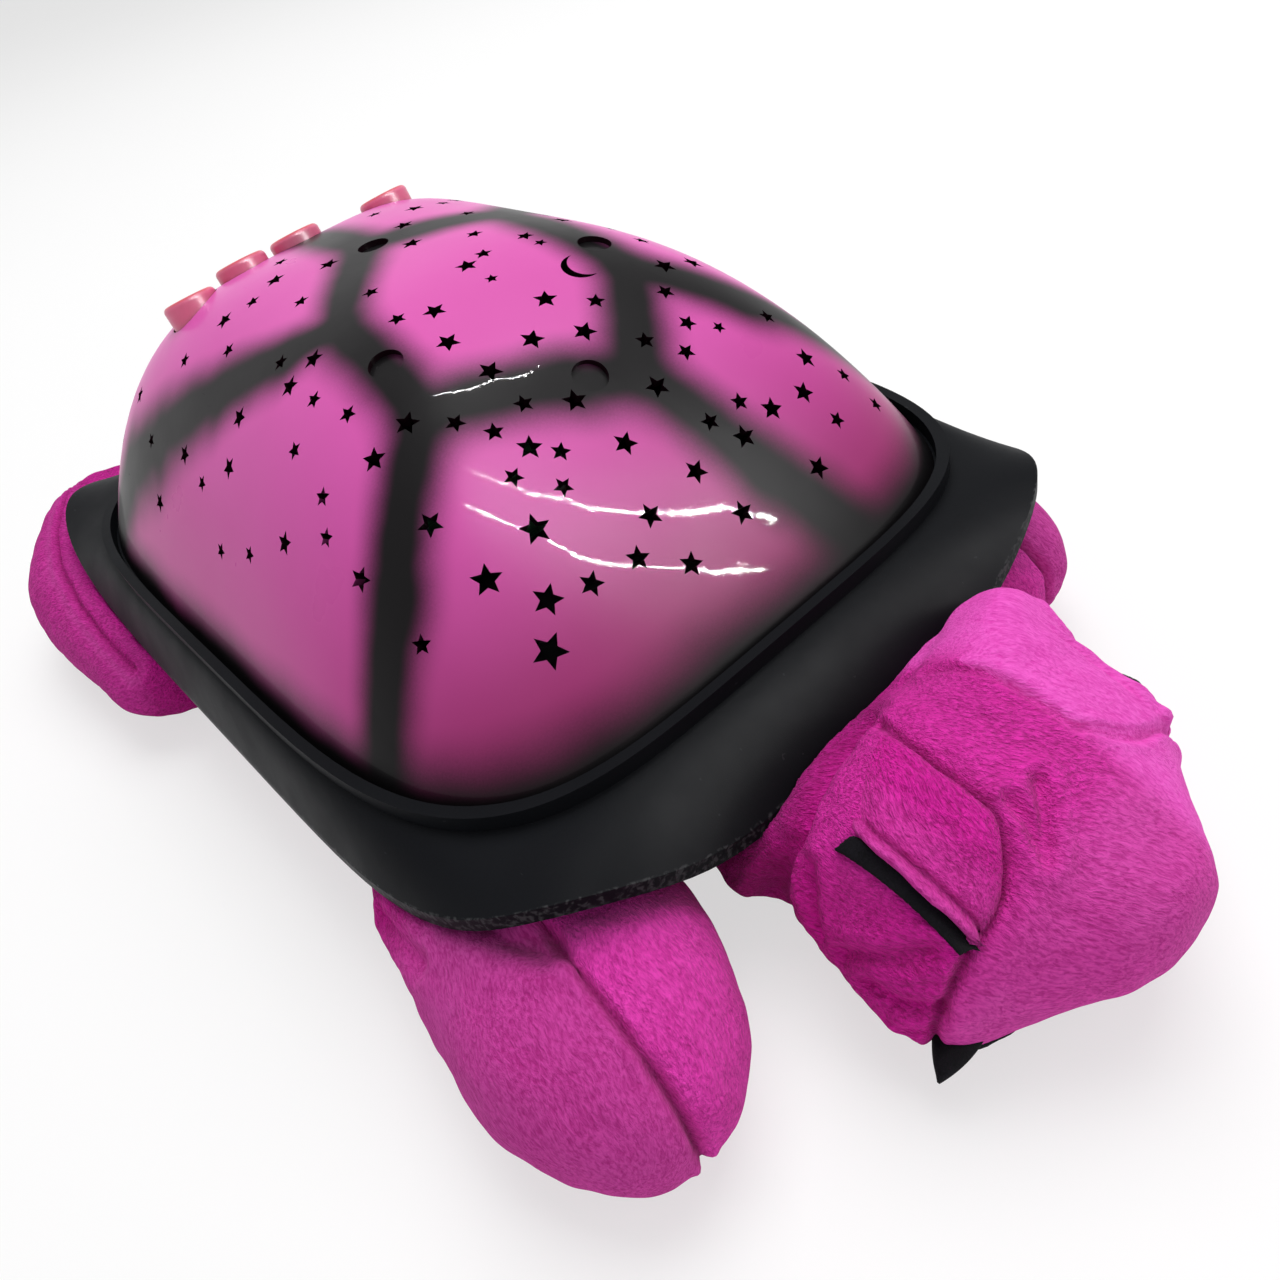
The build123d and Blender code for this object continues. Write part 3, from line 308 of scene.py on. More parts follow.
def cell_sleeve():
    """Plain sleeve with a paler end band."""
    made, tree = material("cell_sleeve")
    where = place(tree)
    y = calc(tree, "SUBTRACT", add(tree, "ShaderNodeSeparateXYZ", {0: where}).outputs["Y"], SHELL_Y)
    end = step(tree, calc(tree, "ABSOLUTE", y), 0.0140, 0.0142)
    cap = step(tree, calc(tree, "ABSOLUTE", y), 0.0213, 0.0215)
    cloud = speckle(tree, where, 140, 3)
    dark = mix(tree, cloud, rgb(0.020, 0.045, 0.050), rgb(0.034, 0.070, 0.078))
    colour = mix(tree, cap, mix(tree, end, dark, rgb(0.10, 0.16, 0.17)), rgb(0.60, 0.60, 0.60))
    gloss = calc(tree, "MULTIPLY_ADD", speckle(tree, where, 500, 3), 0.15, 0.2)
    surface(tree, Base_Color=colour, Roughness=gloss, Metallic=0.6)
    return made


FINISH = {
    "shell_pink": dome_plastic(),
    "shell_black": skirt_plastic(),
    "tray_black": plain_plastic("tray_black", (0.012, 0.012, 0.013), (0.024, 0.024, 0.026), 0.5, 1800, 8e-5),
    "button_red": button_plastic(),
    "switch_black": plain_plastic("switch_black", (0.014, 0.014, 0.014), (0.026, 0.026, 0.026), 0.42),
    "board_green": circuit(),
    "steel": metal("plated_steel", (0.46, 0.46, 0.47), (0.66, 0.66, 0.68), 0.32),
    "lamp_red": tinted("lamp_red", (0.66, 0.020, 0.016), (0.80, 0.045, 0.030)),
    "lamp_green": tinted("lamp_green", (0.05, 0.52, 0.06), (0.10, 0.66, 0.10)),
    "lamp_blue": tinted("lamp_blue", (0.02, 0.07, 0.60), (0.04, 0.12, 0.74)),
    "lamp_amber": tinted("lamp_amber", (0.72, 0.24, 0.01), (0.84, 0.34, 0.02)),
    "chip_black": plain_plastic("chip_resin", (0.008, 0.008, 0.008), (0.016, 0.016, 0.017), 0.55, 3400),
    "capacitor_can": plain_plastic("capacitor_sleeve", (0.05, 0.06, 0.12), (0.08, 0.09, 0.17), 0.35),
    "cone_paper": fibre("cone_paper", (0.012, 0.012, 0.012), (0.035, 0.034, 0.033), 900, 0.00012),
    "magnet": metal("magnet_iron", (0.10, 0.10, 0.11), (0.20, 0.20, 0.21), 0.5),
    "cell_case": cell_sleeve(),
    "felt_black": fibre("felt_black", (0.0008, 0.0007, 0.0014), (0.0060, 0.0052, 0.0085), 1300, 0.0003, 0.02),
    "hook_black": fibre("hook_tape", (0.006, 0.006, 0.006), (0.030, 0.030, 0.031), 1700, 0.0004),
}

for item in frame["record"]["subparts"]:
    holder = nodes[item["node"]]
    finish = FINISH.get(item["material_slot"])
    if finish is not None:
        for place_in in holder.material_slots:
            place_in.material = finish


def plush(name, lie, hot=1.0):
    """Short pile that lies along one direction. The tint layer says where the pile is paler, where shade is
    painted on it and where a brighter sheen is painted on it.
    """
    made, tree = material(name)
    where = place(tree)
    lie = Vector(lie).normalized()
    side = lie.orthogonal().normalized()
    third = lie.cross(side)
    swirl = add(tree, "ShaderNodeTexNoise", {"Vector": where, "Scale": 45.0, "Detail": 1.0}).outputs["Color"]
    swirl = vector(tree, "SUBTRACT", swirl, (0.5, 0.5, 0.5))
    bent = add(tree, "ShaderNodeVectorMath", {0: swirl, 1: (0.008, 0.008, 0.008), 2: where},
               operation="MULTIPLY_ADD").outputs["Vector"]
    axes = add(tree, "ShaderNodeCombineXYZ", {
        0: calc(tree, "MULTIPLY", vector(tree, "DOT_PRODUCT", bent, lie), 640.0),
        1: calc(tree, "MULTIPLY", vector(tree, "DOT_PRODUCT", bent, side), 1900.0),
        2: calc(tree, "MULTIPLY", vector(tree, "DOT_PRODUCT", bent, third), 1900.0),
    }).outputs[0]
    tufts = speckle(tree, axes, 1.0, 2, 0.5, 0.55)
    fine = speckle(tree, axes, 2.4, 1, 0.3)
    clumps = speckle(tree, vector(tree, "MULTIPLY", axes, (0.20, 0.14, 0.14)), 1.0, 2, 0.8)
    layer = add(tree, "ShaderNodeAttribute", attribute_name="tint").outputs["Color"]
    parts = add(tree, "ShaderNodeSeparateColor", {0: layer})
    pale, shade, painted_sheen = parts.outputs["Red"], parts.outputs["Green"], parts.outputs["Blue"]
    # Painted sheen: broad patches of paler pile.
    wear_and_sheen = step(tree, speckle(tree, where, 38, 3), 0.46, 0.72, 0.0, 0.18)
    pale = add(tree, "ShaderNodeMath", {0: pale, 1: wear_and_sheen}, operation="ADD", use_clamp=True).outputs[0]
    height = calc(tree, "MULTIPLY_ADD", tufts, 0.80, calc(tree, "MULTIPLY", clumps, 0.20))
    lit = step(tree, height, 0.27, 0.69)
    deep = mix(tree, lit, rgb(0.42 * hot, 0.004, 0.185), rgb(0.84, 0.018, 0.43))
    soft = mix(tree, lit, rgb(0.46, 0.024, 0.245), rgb(0.70, 0.080, 0.43))
    # Painted sheen: brighter pink where the tint layer's blue says; painted shade: dark magenta where its
    # green says.
    sheen_pink = mix(tree, lit, rgb(0.76, 0.050, 0.45), rgb(0.93, 0.130, 0.64))
    colour = mix(tree, painted_sheen, mix(tree, pale, deep, soft), sheen_pink)
    colour = mix(tree, shade, colour, rgb(0.13, 0.001, 0.042))
    raised = calc(tree, "MULTIPLY_ADD", fine, 0.3, height)
    strength = step(tree, calc(tree, "ADD", pale, painted_sheen), 0.0, 1.0, 1.0, 0.5)
    normal = bump(tree, raised, 0.0012, strength)
    surface(tree, Base_Color=colour, Roughness=0.92, Normal=normal, Sheen_Weight=0.14, Sheen_Roughness=0.4,
            Sheen_Tint=rgb(1.0, 0.30, 0.70), Specular_IOR_Level=0.08)
    return made


# Mesh work

# Height in millimetres from which lines are dropped on the soft pieces
ABOVE = 150
CLOTH_FRAMES = 20
CLOTH_PRESSURE = 4


def at(x, reach, z):
    """Point in millimetres from the shell's middle: to the left, towards the nose, and up from the floor."""
    return np.array((x * MM, SHELL_Y - reach * MM, z * MM))


def lines_on_both_sides(line):
    right = np.array([at(*p) for p in line])
    return right, right * np.array((-1, 1, 1))


def solid(name):
    """Corners and faces of a node at rest."""
    holder = nodes[name]
    spots = [holder.matrix_world @ v.co for v in holder.data.vertices]
    return spots, [tuple(p.vertices) for p in holder.data.polygons]


def tree_of(spots, faces):
    return BVHTree.FromPolygons([Vector(p) for p in spots], faces)


def new_piece(name, spots, faces):
    mesh = bpy.data.meshes.new(name)
    mesh.from_pydata([tuple(p) for p in spots], [], [tuple(f) for f in faces])
    mesh.update()
    piece = bpy.data.objects.new(name, mesh)
    scene.collection.objects.link(piece)
    return piece


def bake(piece):
    """Applies the modifiers of a piece."""
    graph = bpy.context.evaluated_depsgraph_get()
    mesh = bpy.data.meshes.new_from_object(piece.evaluated_get(graph))
    old = piece.data
    piece.modifiers.clear()
    piece.data = mesh
    bpy.data.meshes.remove(old)


def spots_of(mesh):
    flat = np.empty(len(mesh.vertices) * 3)
    mesh.vertices.foreach_get("co", flat)
    return flat.reshape(-1, 3)


def normals_of(mesh):
    flat = np.empty(len(mesh.vertices) * 3)
    mesh.vertex_normals.foreach_get("vector", flat)
    return flat.reshape(-1, 3)


def put(mesh, spots):
    mesh.vertices.foreach_set("co", np.ascontiguousarray(spots).ravel())
    mesh.update()


def smooth_shade(piece):
    piece.data.polygons.foreach_set("use_smooth", [True] * len(piece.data.polygons))


def line_distance(spots, line):
    best = np.full(len(spots), np.inf)
    for a, b in zip(line[:-1], line[1:]):
        run = b - a
        t = np.clip((spots - a) @ run / (run @ run), 0, 1)
        best = np.minimum(best, np.linalg.norm(spots - a - t[:, None] * run, axis=1))
    return best


def blur(mesh, spots, rounds, share=0.5):
    """Moves each corner towards the mean of its neighbours."""
    edges = np.empty(len(mesh.edges) * 2, dtype=np.int64)
    mesh.edges.foreach_get("vertices", edges)
    edges = edges.reshape(-1, 2)
    count = np.bincount(edges.ravel(), minlength=len(spots))[:, None]
    for _ in range(rounds):
        total = np.zeros_like(spots)
        np.add.at(total, edges[:, 0], spots[edges[:, 1]])
        np.add.at(total, edges[:, 1], spots[edges[:, 0]])
        spots = spots + share * (total / count - spots)
    return spots


SKIRT = tree_of(*solid("shell_skirt"))
FLOOR_GAP = 0.0003
SKIRT_GAP = 0.0006


def keep_clear(spots):
    """Holds a soft piece above the floor and under the skirt."""
    for p in spots:
        hit = SKIRT.ray_cast(Vector((p[0], p[1], -0.01)), Vector((0, 0, 1)))[0]
        if hit is not None and p[2] > hit.z - SKIRT_GAP and p[2] < hit.z + 0.02:
            p[2] = hit.z - SKIRT_GAP
    spots[:, 2] = np.maximum(spots[:, 2], FLOOR_GAP)
    return spots


def stuffed(name, node, voxel, cap, inset, pins=(), levels=2, loose=None, shape=None):
    """Stuffed piece: the solid's skin, remeshed, blown up as cloth held at its seams, and refined."""
    spots, faces = solid(node)
    skin = tree_of(spots, faces)
    piece = new_piece(name, spots, faces)
    work = bmesh.new()
    work.from_mesh(piece.data)
    bmesh.ops.remove_doubles(work, verts=work.verts, dist=1e-5)
    work.to_mesh(piece.data)
    work.free()
    remesh = piece.modifiers.new("remesh", "REMESH")
    remesh.mode = "VOXEL"
    remesh.voxel_size = voxel * MM
    bake(piece)
    start = spots_of(piece.data)
    for i, p in enumerate(start):
        hit, normal = skin.find_nearest(Vector(p))[:2]
        start[i] = hit - normal * inset * MM
    if shape is not None:
        start = shape(start)
    start = keep_clear(blur(piece.data, start, 2))
    put(piece.data, start)
    held = piece.vertex_groups.new(name="held")
    grip = np.zeros(len(start))
    for line in pins:
        grip = np.maximum(grip, np.clip(1.2 - line_distance(start, line) / (voxel * MM), 0, 1))
    if loose is not None:
        grip = np.where(loose(start), grip, 1.0)
    for i, weight in enumerate(grip):
        held.add([i], float(weight), "REPLACE")
    cloth = piece.modifiers.new("cloth", "CLOTH")
    cloth.settings.quality = 6
    cloth.settings.use_pressure = True
    cloth.settings.uniform_pressure_force = CLOTH_PRESSURE
    cloth.settings.effector_weights.gravity = 0
    cloth.settings.vertex_group_mass = "held"
    cloth.point_cache.frame_start = 1
    cloth.point_cache.frame_end = CLOTH_FRAMES
    for f in range(1, CLOTH_FRAMES + 1):
        scene.frame_set(f)
    graph = bpy.context.evaluated_depsgraph_get()
    mesh = bpy.data.meshes.new_from_object(piece.evaluated_get(graph))
    move = spots_of(mesh) - start
    bpy.data.meshes.remove(mesh)
    piece.modifiers.clear()
    size = np.linalg.norm(move, axis=1)
    move *= np.minimum(1, cap * MM / np.maximum(size, 1e-9))[:, None]
    put(piece.data, keep_clear(blur(piece.data, start + move, 1)))
    scene.frame_set(1)
    piece.vertex_groups.clear()
    finer = piece.modifiers.new("finer", "SUBSURF")
    finer.levels = levels
    finer.render_levels = levels
    bake(piece)
    smooth_shade(piece)
    return piece


def skin_of(piece):
    return tree_of(spots_of(piece.data), [tuple(p.vertices) for p in piece.data.polygons])


def settle(line, skin, spacing=1.2):
    """A line as closely spaced points that lie on a skin."""
    points = []
    for a, b in zip(line[:-1], line[1:]):
        count = max(1, int(np.linalg.norm(b - a) / (spacing * MM)))
        for i in range(count):
            points.append(a + (b - a) * i / count)
    points.append(line[-1])
    laid = np.array([np.array(skin.find_nearest(Vector(p))[0]) for p in points])
    apart = np.linalg.norm(np.diff(laid, axis=0), axis=1) > 0.05 * MM
    return laid[np.concatenate([[True], apart])]


def gaps(piece, lines, laid=False):
    """Each point's distance in millimetres from the nearest of some lines on the piece's skin."""
    spots, skin, limit = spots_of(piece.data), skin_of(piece), 18 * MM
    gap = np.full(len(spots), limit)
    for line in lines:
        line = line if laid else settle(line, skin)
        low, high = line.min(axis=0) - limit, line.max(axis=0) + limit
        near = np.nonzero(np.all((spots > low) & (spots < high), axis=1))[0]
        if len(near):
            gap[near] = np.minimum(gap[near], line_distance(spots[near], line))
    return gap / MM


def carve(piece, *cuts):
    """Sinks seams and creases into a piece: gap, depth, width, and height of the puckered lip beside it."""
    spots, normals = spots_of(piece.data), normals_of(piece.data)
    push = np.zeros(len(spots))
    for gap, depth, width, lip in cuts:
        for i in np.nonzero(gap < 5 * width)[0]:
            d = gap[i] / width
            pucker = 1 + 0.45 * noise.noise(Vector(spots[i]) / (2.6 * MM))
            push[i] += pucker * lip * math.exp(-((d - 2.3) / 1.2) ** 2) - depth * math.exp(-d * d)
    put(piece.data, spots + normals * (push * MM)[:, None])


def ruffle(piece, size, depth, seed):
    """Uneven filling and clumped pile as real relief."""
    spots, normals = spots_of(piece.data), normals_of(piece.data)
    shift = Vector((seed * 3.1, seed * 1.7, seed * 2.3))
    push = np.array([noise.noise(Vector(p) / (size * MM) + shift) for p in spots])
    put(piece.data, spots + normals * (push * depth * MM)[:, None])


# Tint layer: red makes the pile paler, green is painted shade, blue is painted sheen.
def tint(piece, pale, shade, painted_sheen=0.0):
    layer = piece.data.color_attributes.new("tint", "FLOAT_COLOR", "POINT")
    values = np.zeros((len(piece.data.vertices), 4))
    values[:, 0] = np.clip(pale, 0, 1)
    values[:, 1] = np.clip(shade, 0, 1)
    values[:, 2] = np.clip(painted_sheen, 0, 1)
    values[:, 3] = 1
    layer.data.foreach_set("color", values.ravel())


def ramp(value, start, end):
    t = np.clip((value - start) / (end - start), 0, 1)
    return t * t * (3 - 2 * t)


def finish_soft(piece, finish, slot, *replaced, body="turtle", fill=None):
    piece.data.materials.clear()
    piece.data.materials.append(finish)
    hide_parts(*replaced)
    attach(piece, body)


def drop(line, skin):
    """Points given in plan, dropped on a piece from above."""
    found = []
    for x, reach in line:
        hit = skin.ray_cast(Vector(at(x, reach, ABOVE)), Vector((0, 0, -1)))[0]
        if hit is not None:
            found.append(np.array(hit))
    return np.array(found)


# Head

# Seams and folds of its right side: x, reach and height in millimetres
LID_TOP = (
    (-6.8, 132.5, 44.3), (-9.8, 141.8, 46.7), (-10.5, 147.6, 46.3), (-10.6, 153.9, 44.9),
    (-10.6, 156.7, 43.7),
)
LID_FRONT = (
    (-10.6, 156.7, 43.7), (-12.6, 159.2, 42.5), (-15.6, 161.8, 40.1), (-18.7, 163.6, 38), (-22.4, 164, 36.4),
    (-26, 163.6, 34.2),
)
SNOUT_SEAM = (
    (-26, 163.6, 34.2), (-28, 163.3, 31.4), (-30.3, 163.3, 28.6), (-33.3, 162.7, 23.8), (-34.8, 161.5, 17.8),
    (-34, 161, 11), (-25, 161, 5),
)
# How much lower the left eye sits, and where along the right eye's strip it is held to the skin
LOW_EYE = 5.0
STRIP_HOLDS = (0.08, 0.5, 0.94)
DARTS = (((-7.8, 157.9, 44.2), (-8.2, 161.4, 42.3), (-9.9, 164.5, 40.6), (-10.8, 165.8, 39.8)),
         ((-1.5, 158.6, 43.3), (-5.5, 162.2, 42.4), (-9.5, 165.2, 40.2)))
NECK_CREASE = (
    (-6, 127, 41), (-12, 127.5, 40), (-19, 128, 38.5), (-27, 129.5, 34.5), (-33, 127.5, 24), (-34, 125, 12),
)
CHEEK_FOLDS = (
    ((-37.6, 145.9, 25.4), (-36, 150.5, 28.5), (-34.7, 154.5, 29.8), (-30.5, 158.6, 31.7)),
    ((-37.5, 151.2, 22.7), (-35, 157.2, 21.8), (-33.6, 161.5, 22.6)),
    ((-33, 136, 36), (-36, 138, 31), (-37.4, 140, 25)),
    ((-37.5, 143, 19), (-37, 150, 15), (-35.5, 156, 13)),
)


def head_shape(spots):
    """Broad neck, and a left side that runs straight back under the shell."""
    x, reach, z = spots[:, 0] / MM, (SHELL_Y - spots[:, 1]) / MM, spots[:, 2] / MM
    x = x * (1 + 0.34 * ramp(reach, 130, 117))
    left = ramp(x, 4, 20) * ramp(reach, 150, 130) * ramp(reach, 106, 115) * ramp(z, 14, 30)
    x, z = x + 3.5 * left, z + 8.5 * left
    jowl = ramp(np.abs(x), 16, 30) * ramp(reach, 140, 156) * ramp(reach, 174, 165) * ramp(z, 27, 13)
    x, z = x + 3.2 * jowl * np.sign(x), z - 1.5 * jowl
    neck = ramp(x, 8, 22) * ramp(reach, 142, 128) * ramp(reach, 102, 110)
    x = x + 6.0 * neck
    knob = np.exp(-(x / 6) ** 2 - ((z - 27) / 5) ** 2) * ramp(reach, 174, 181)
    return np.stack([x * MM, spots[:, 1] - 2.0 * MM * knob, z * MM], axis=1)


def make_head():
    seams = []
    for line in (LID_TOP, LID_FRONT, SNOUT_SEAM):
        seams.extend(lines_on_both_sides(line))
    piece = stuffed("head", "plush_head", 4.0, 4.0, 1.4, seams, 3, shape=head_shape)
    ruffle(piece, 16, 0.9, 1)
    right, left = lines_on_both_sides(NECK_CREASE)
    seam, near_seam = gaps(piece, seams), gaps(piece, seams[0::2])
    darts = gaps(piece, [lines_on_both_sides(line)[0] for line in DARTS])
    folds = gaps(piece, [line for fold in CHEEK_FOLDS for line in lines_on_both_sides(fold)])
    neck_right, neck_left = gaps(piece, [right]), gaps(piece, [left])
    carve(piece, (neck_right, 2.8, 3.0, 0.9), (neck_left, 0.9, 3.0, 0.0), (near_seam, 0.7, 2.0, 0.3),
          (seam, 0.8, 0.75, 0.3), (darts, 1.2, 1.2, 0.8), (folds, 1.1, 1.5, 0.8))
    ruffle(piece, 3.6, 0.22, 2)
    put(piece.data, keep_clear(spots_of(piece.data)))
    p = spots_of(piece.data) / MM
    reach, x, z = SHELL_Y / MM - p[:, 1], p[:, 0], p[:, 2]
    front = ramp(reach - 0.06 * (z - 30), 161.5, 164.5)
    snout = front * ramp(reach + 0.25 * (38 - z), 160, 172)
    flank = ramp(x, 7, 15) * ramp(z, 10, 24)
    neck = ramp(reach, 133, 125) * ramp(x, 12, -6)
    cheek = ramp(x, -26, -33) * ramp(reach, 165, 160)
    # Painted shade in the seams, under the shell at the neck and on the right cheek; painted sheen on the
    # left flank and a lighter top of the head.
    groove = 0.60 * np.exp(-(seam / 0.7) ** 2) * ramp(x, 12, 2)
    lit_sheen = np.maximum(0.95 * flank, 0.14 * ramp(z, 34, 42))
    tint(piece, 0.75 * snout, groove + 0.42 * neck + 0.16 * cheek, lit_sheen)
    finish_soft(piece, plush("plush_head", (0.5, -1.0, -0.35)), "plush_magenta", "plush_head", fill=0.75)
    return piece


def patch(name, rows, bottom):
    """Closed pad between a grid of points and the same grid lower down."""
    rows, bottom = np.array(rows), np.array(bottom)
    n, m = rows.shape[:2]
    spots = np.concatenate([rows.reshape(-1, 3), bottom.reshape(-1, 3)])
    faces = []
    for i in range(n - 1):
        for j in range(m - 1):
            a, b, c, d = i * m + j, i * m + j + 1, (i + 1) * m + j + 1, (i + 1) * m + j
            faces.append((a, b, c, d))
            faces.append((n * m + d, n * m + c, n * m + b, n * m + a))
    rim = list(range(m)) + [i * m + m - 1 for i in range(1, n)]
    rim += [(n - 1) * m + j for j in range(m - 2, -1, -1)] + [i * m for i in range(n - 2, 0, -1)]
    for a, b in zip(rim, rim[1:] + rim[:1]):
        faces.append((b, a, n * m + a, n * m + b))
    piece = new_piece(name, spots, faces)
    work = bmesh.new()
    work.from_mesh(piece.data)
    bmesh.ops.recalc_face_normals(work, faces=work.faces)
    work.to_mesh(piece.data)
    work.free()
    smooth_shade(piece)
    return piece


def on_skin(skin, x, reach, height):
    """Point given in plan, dropped on a piece from above and lifted off it."""
    hit, normal = skin.ray_cast(Vector(at(x, reach, ABOVE)), Vector((0, 0, -1)))[:2]
    return np.array(hit + normal * height * MM)


LID_ROWS, LID_COLUMNS = 61, 45


def make_eyelid(side, word, skin):
    """Padded lid sewn down at its top and front, with a folded hem along the eye."""
    rows, bottom = [], []
    top = np.array([(6.8, 132.5), (9.4, 140.5), (10.4, 147), (10.6, 152.5), (10.6, 156.7)])
    rim = np.array([(25.6, 141.2), (26.4, 147), (26.5, 152.7), (26.3, 158.2), (26, 163.7)])
    rim[:, 0] += LOW_EYE if side > 0 else 0
    for u in np.linspace(0, 1, LID_ROWS):
        k = u * (len(top) - 1)
        i = min(int(k), len(top) - 2)
        a = top[i] + (k - i) * (top[i + 1] - top[i])
        b = rim[i] + (k - i) * (rim[i + 1] - rim[i])
        row, under = [], []
        for v in np.linspace(0, 1, LID_COLUMNS):
            x, reach = a + v * (b - a)
            reach += 3.3 * math.sin(math.pi * v) * u ** 3 - 1.6 * math.sin(math.pi * v) * (1 - u) ** 3
            ends = min(1, u / 0.30, (1 - u) / 0.07)
            ends = ends * ends * (3 - 2 * ends)
            sewn = min(1, v / 0.14)
            sewn = sewn * (2 - sewn)
            pad = (1.5 + 0.5 * v) * sewn * ends * (1.0 if side < 0 else 0.55)
            hem = (1.3 if side < 0 else 0.7) * math.exp(-((v - 0.945) / 0.045) ** 2)
            hem *= min(1, u / 0.05, (1 - u) / 0.04)
            crease = -0.9 * math.exp(-((v - 0.865) / 0.028) ** 2) * ends
            grain = 0.22 * noise.noise(Vector((x, reach, 7 * side)) / 3.2)
            fall = -2.0 * max(0, (v - 0.965) / 0.035) ** 2
            row.append(on_skin(skin, side * x, reach, -0.25 + pad + hem + crease + fall + grain * ends))
            under.append(on_skin(skin, side * x, reach, -1.0))
        rows.append(row)
        bottom.append(under)
    piece = patch("eyelid_pad_" + word, rows, bottom)
    v = np.tile(np.linspace(0, 1, LID_COLUMNS), LID_ROWS)
    # Painted shade in the crease above the hem, along the sewn top and over the underside; painted sheen over
    # the whole left lid. The pile is paler towards the rim and on the hem.
    shade = 0.42 * np.exp(-((v - 0.865) / 0.024) ** 2) + 0.4 * ramp(v, 0.07, 0.0)
    pale = 0.40 * ramp(v, 0.35, 0.7) + 0.30 * ramp(v, 0.88, 0.93)
    lit_sheen = (0.95 if side > 0 else 0.0) + 0 * v
    shade = shade * (1 - lit_sheen)
    pale, lit_sheen = (np.concatenate([part, 0 * part]) for part in (pale, lit_sheen))
    tint(piece, pale, np.concatenate([shade, shade * 0 + 0.6]), lit_sheen)
    lie = (0.45 * side, -1.0, -0.3)
    finish_soft(piece, plush("plush_lid_" + word, lie), "plush_magenta", "eyelid_" + word, fill=0.3)


def make_eye_strip(side, word, skin):
    """Black felt strip that shows under the lid, with frayed ends."""
    rows, bottom = [], []
    for u in np.linspace(0, 1, 65):
        fray = 0.35 * noise.noise(Vector((u * 40, side * 3.0, 1.0)))
        row, under = [], []
        for v in np.linspace(0, 1, 15):
            ragged = 0.4 * noise.noise(Vector((v * 9, side * 5.0, 4.0 + 9 * round(u))))
            x = 25.6 + 2.9 * v + fray * 0.3 * (v > 0.5)
            if side > 0:
                x = LOW_EYE + 25.6 + 2.0 * v
            edge = min(1, v / 0.1, (1 - v) / 0.1, u / 0.012, (1 - u) / 0.012)
            nap = 0.10 * noise.noise(Vector((x, u * 22, side)) / 0.8)
            height = (1.15 if side < 0 else 1.0) * math.sqrt(max(0, edge)) + nap
            t = u + ragged * abs(2 * u - 1) ** 6 / 22
            a, b, c = STRIP_HOLDS
            shares = (
                (t - b) * (t - c) / ((a - b) * (a - c)),
                (t - a) * (t - c) / ((b - a) * (b - c)),
                (t - a) * (t - b) / ((c - a) * (c - b)),
            )
            for line, lift in ((row, height), (under, -0.9)):
                if side < 0:
                    first, length = 141.7 - 1.7 * v, 22.0 + 0.8 * v
                    held = [on_skin(skin, -x, first + k * length, lift) for k in STRIP_HOLDS]
                    line.append(sum(share * spot for share, spot in zip(shares, held)))
                else:
                    line.append(on_skin(skin, x, 146.0 - v + t * (15.0 + 0.8 * v), lift))
        rows.append(row)
        bottom.append(under)
    piece = patch("eye_felt_" + word, rows, bottom)
    finish_soft(piece, FINISH["felt_black"], "felt_black", "eye_strip_" + word)


# Edges of the leaf under a cheek: x, reach and height in millimetres
LEAF_HEEL = ((31.5, 159, 12.5), (35.4, 160.6, 9.2), (37.9, 164.3, 8.8))
LEAF_TOE = ((28.5, 167, 14), (33.6, 167.6, 12.4), (38.1, 164.6, 9.0))


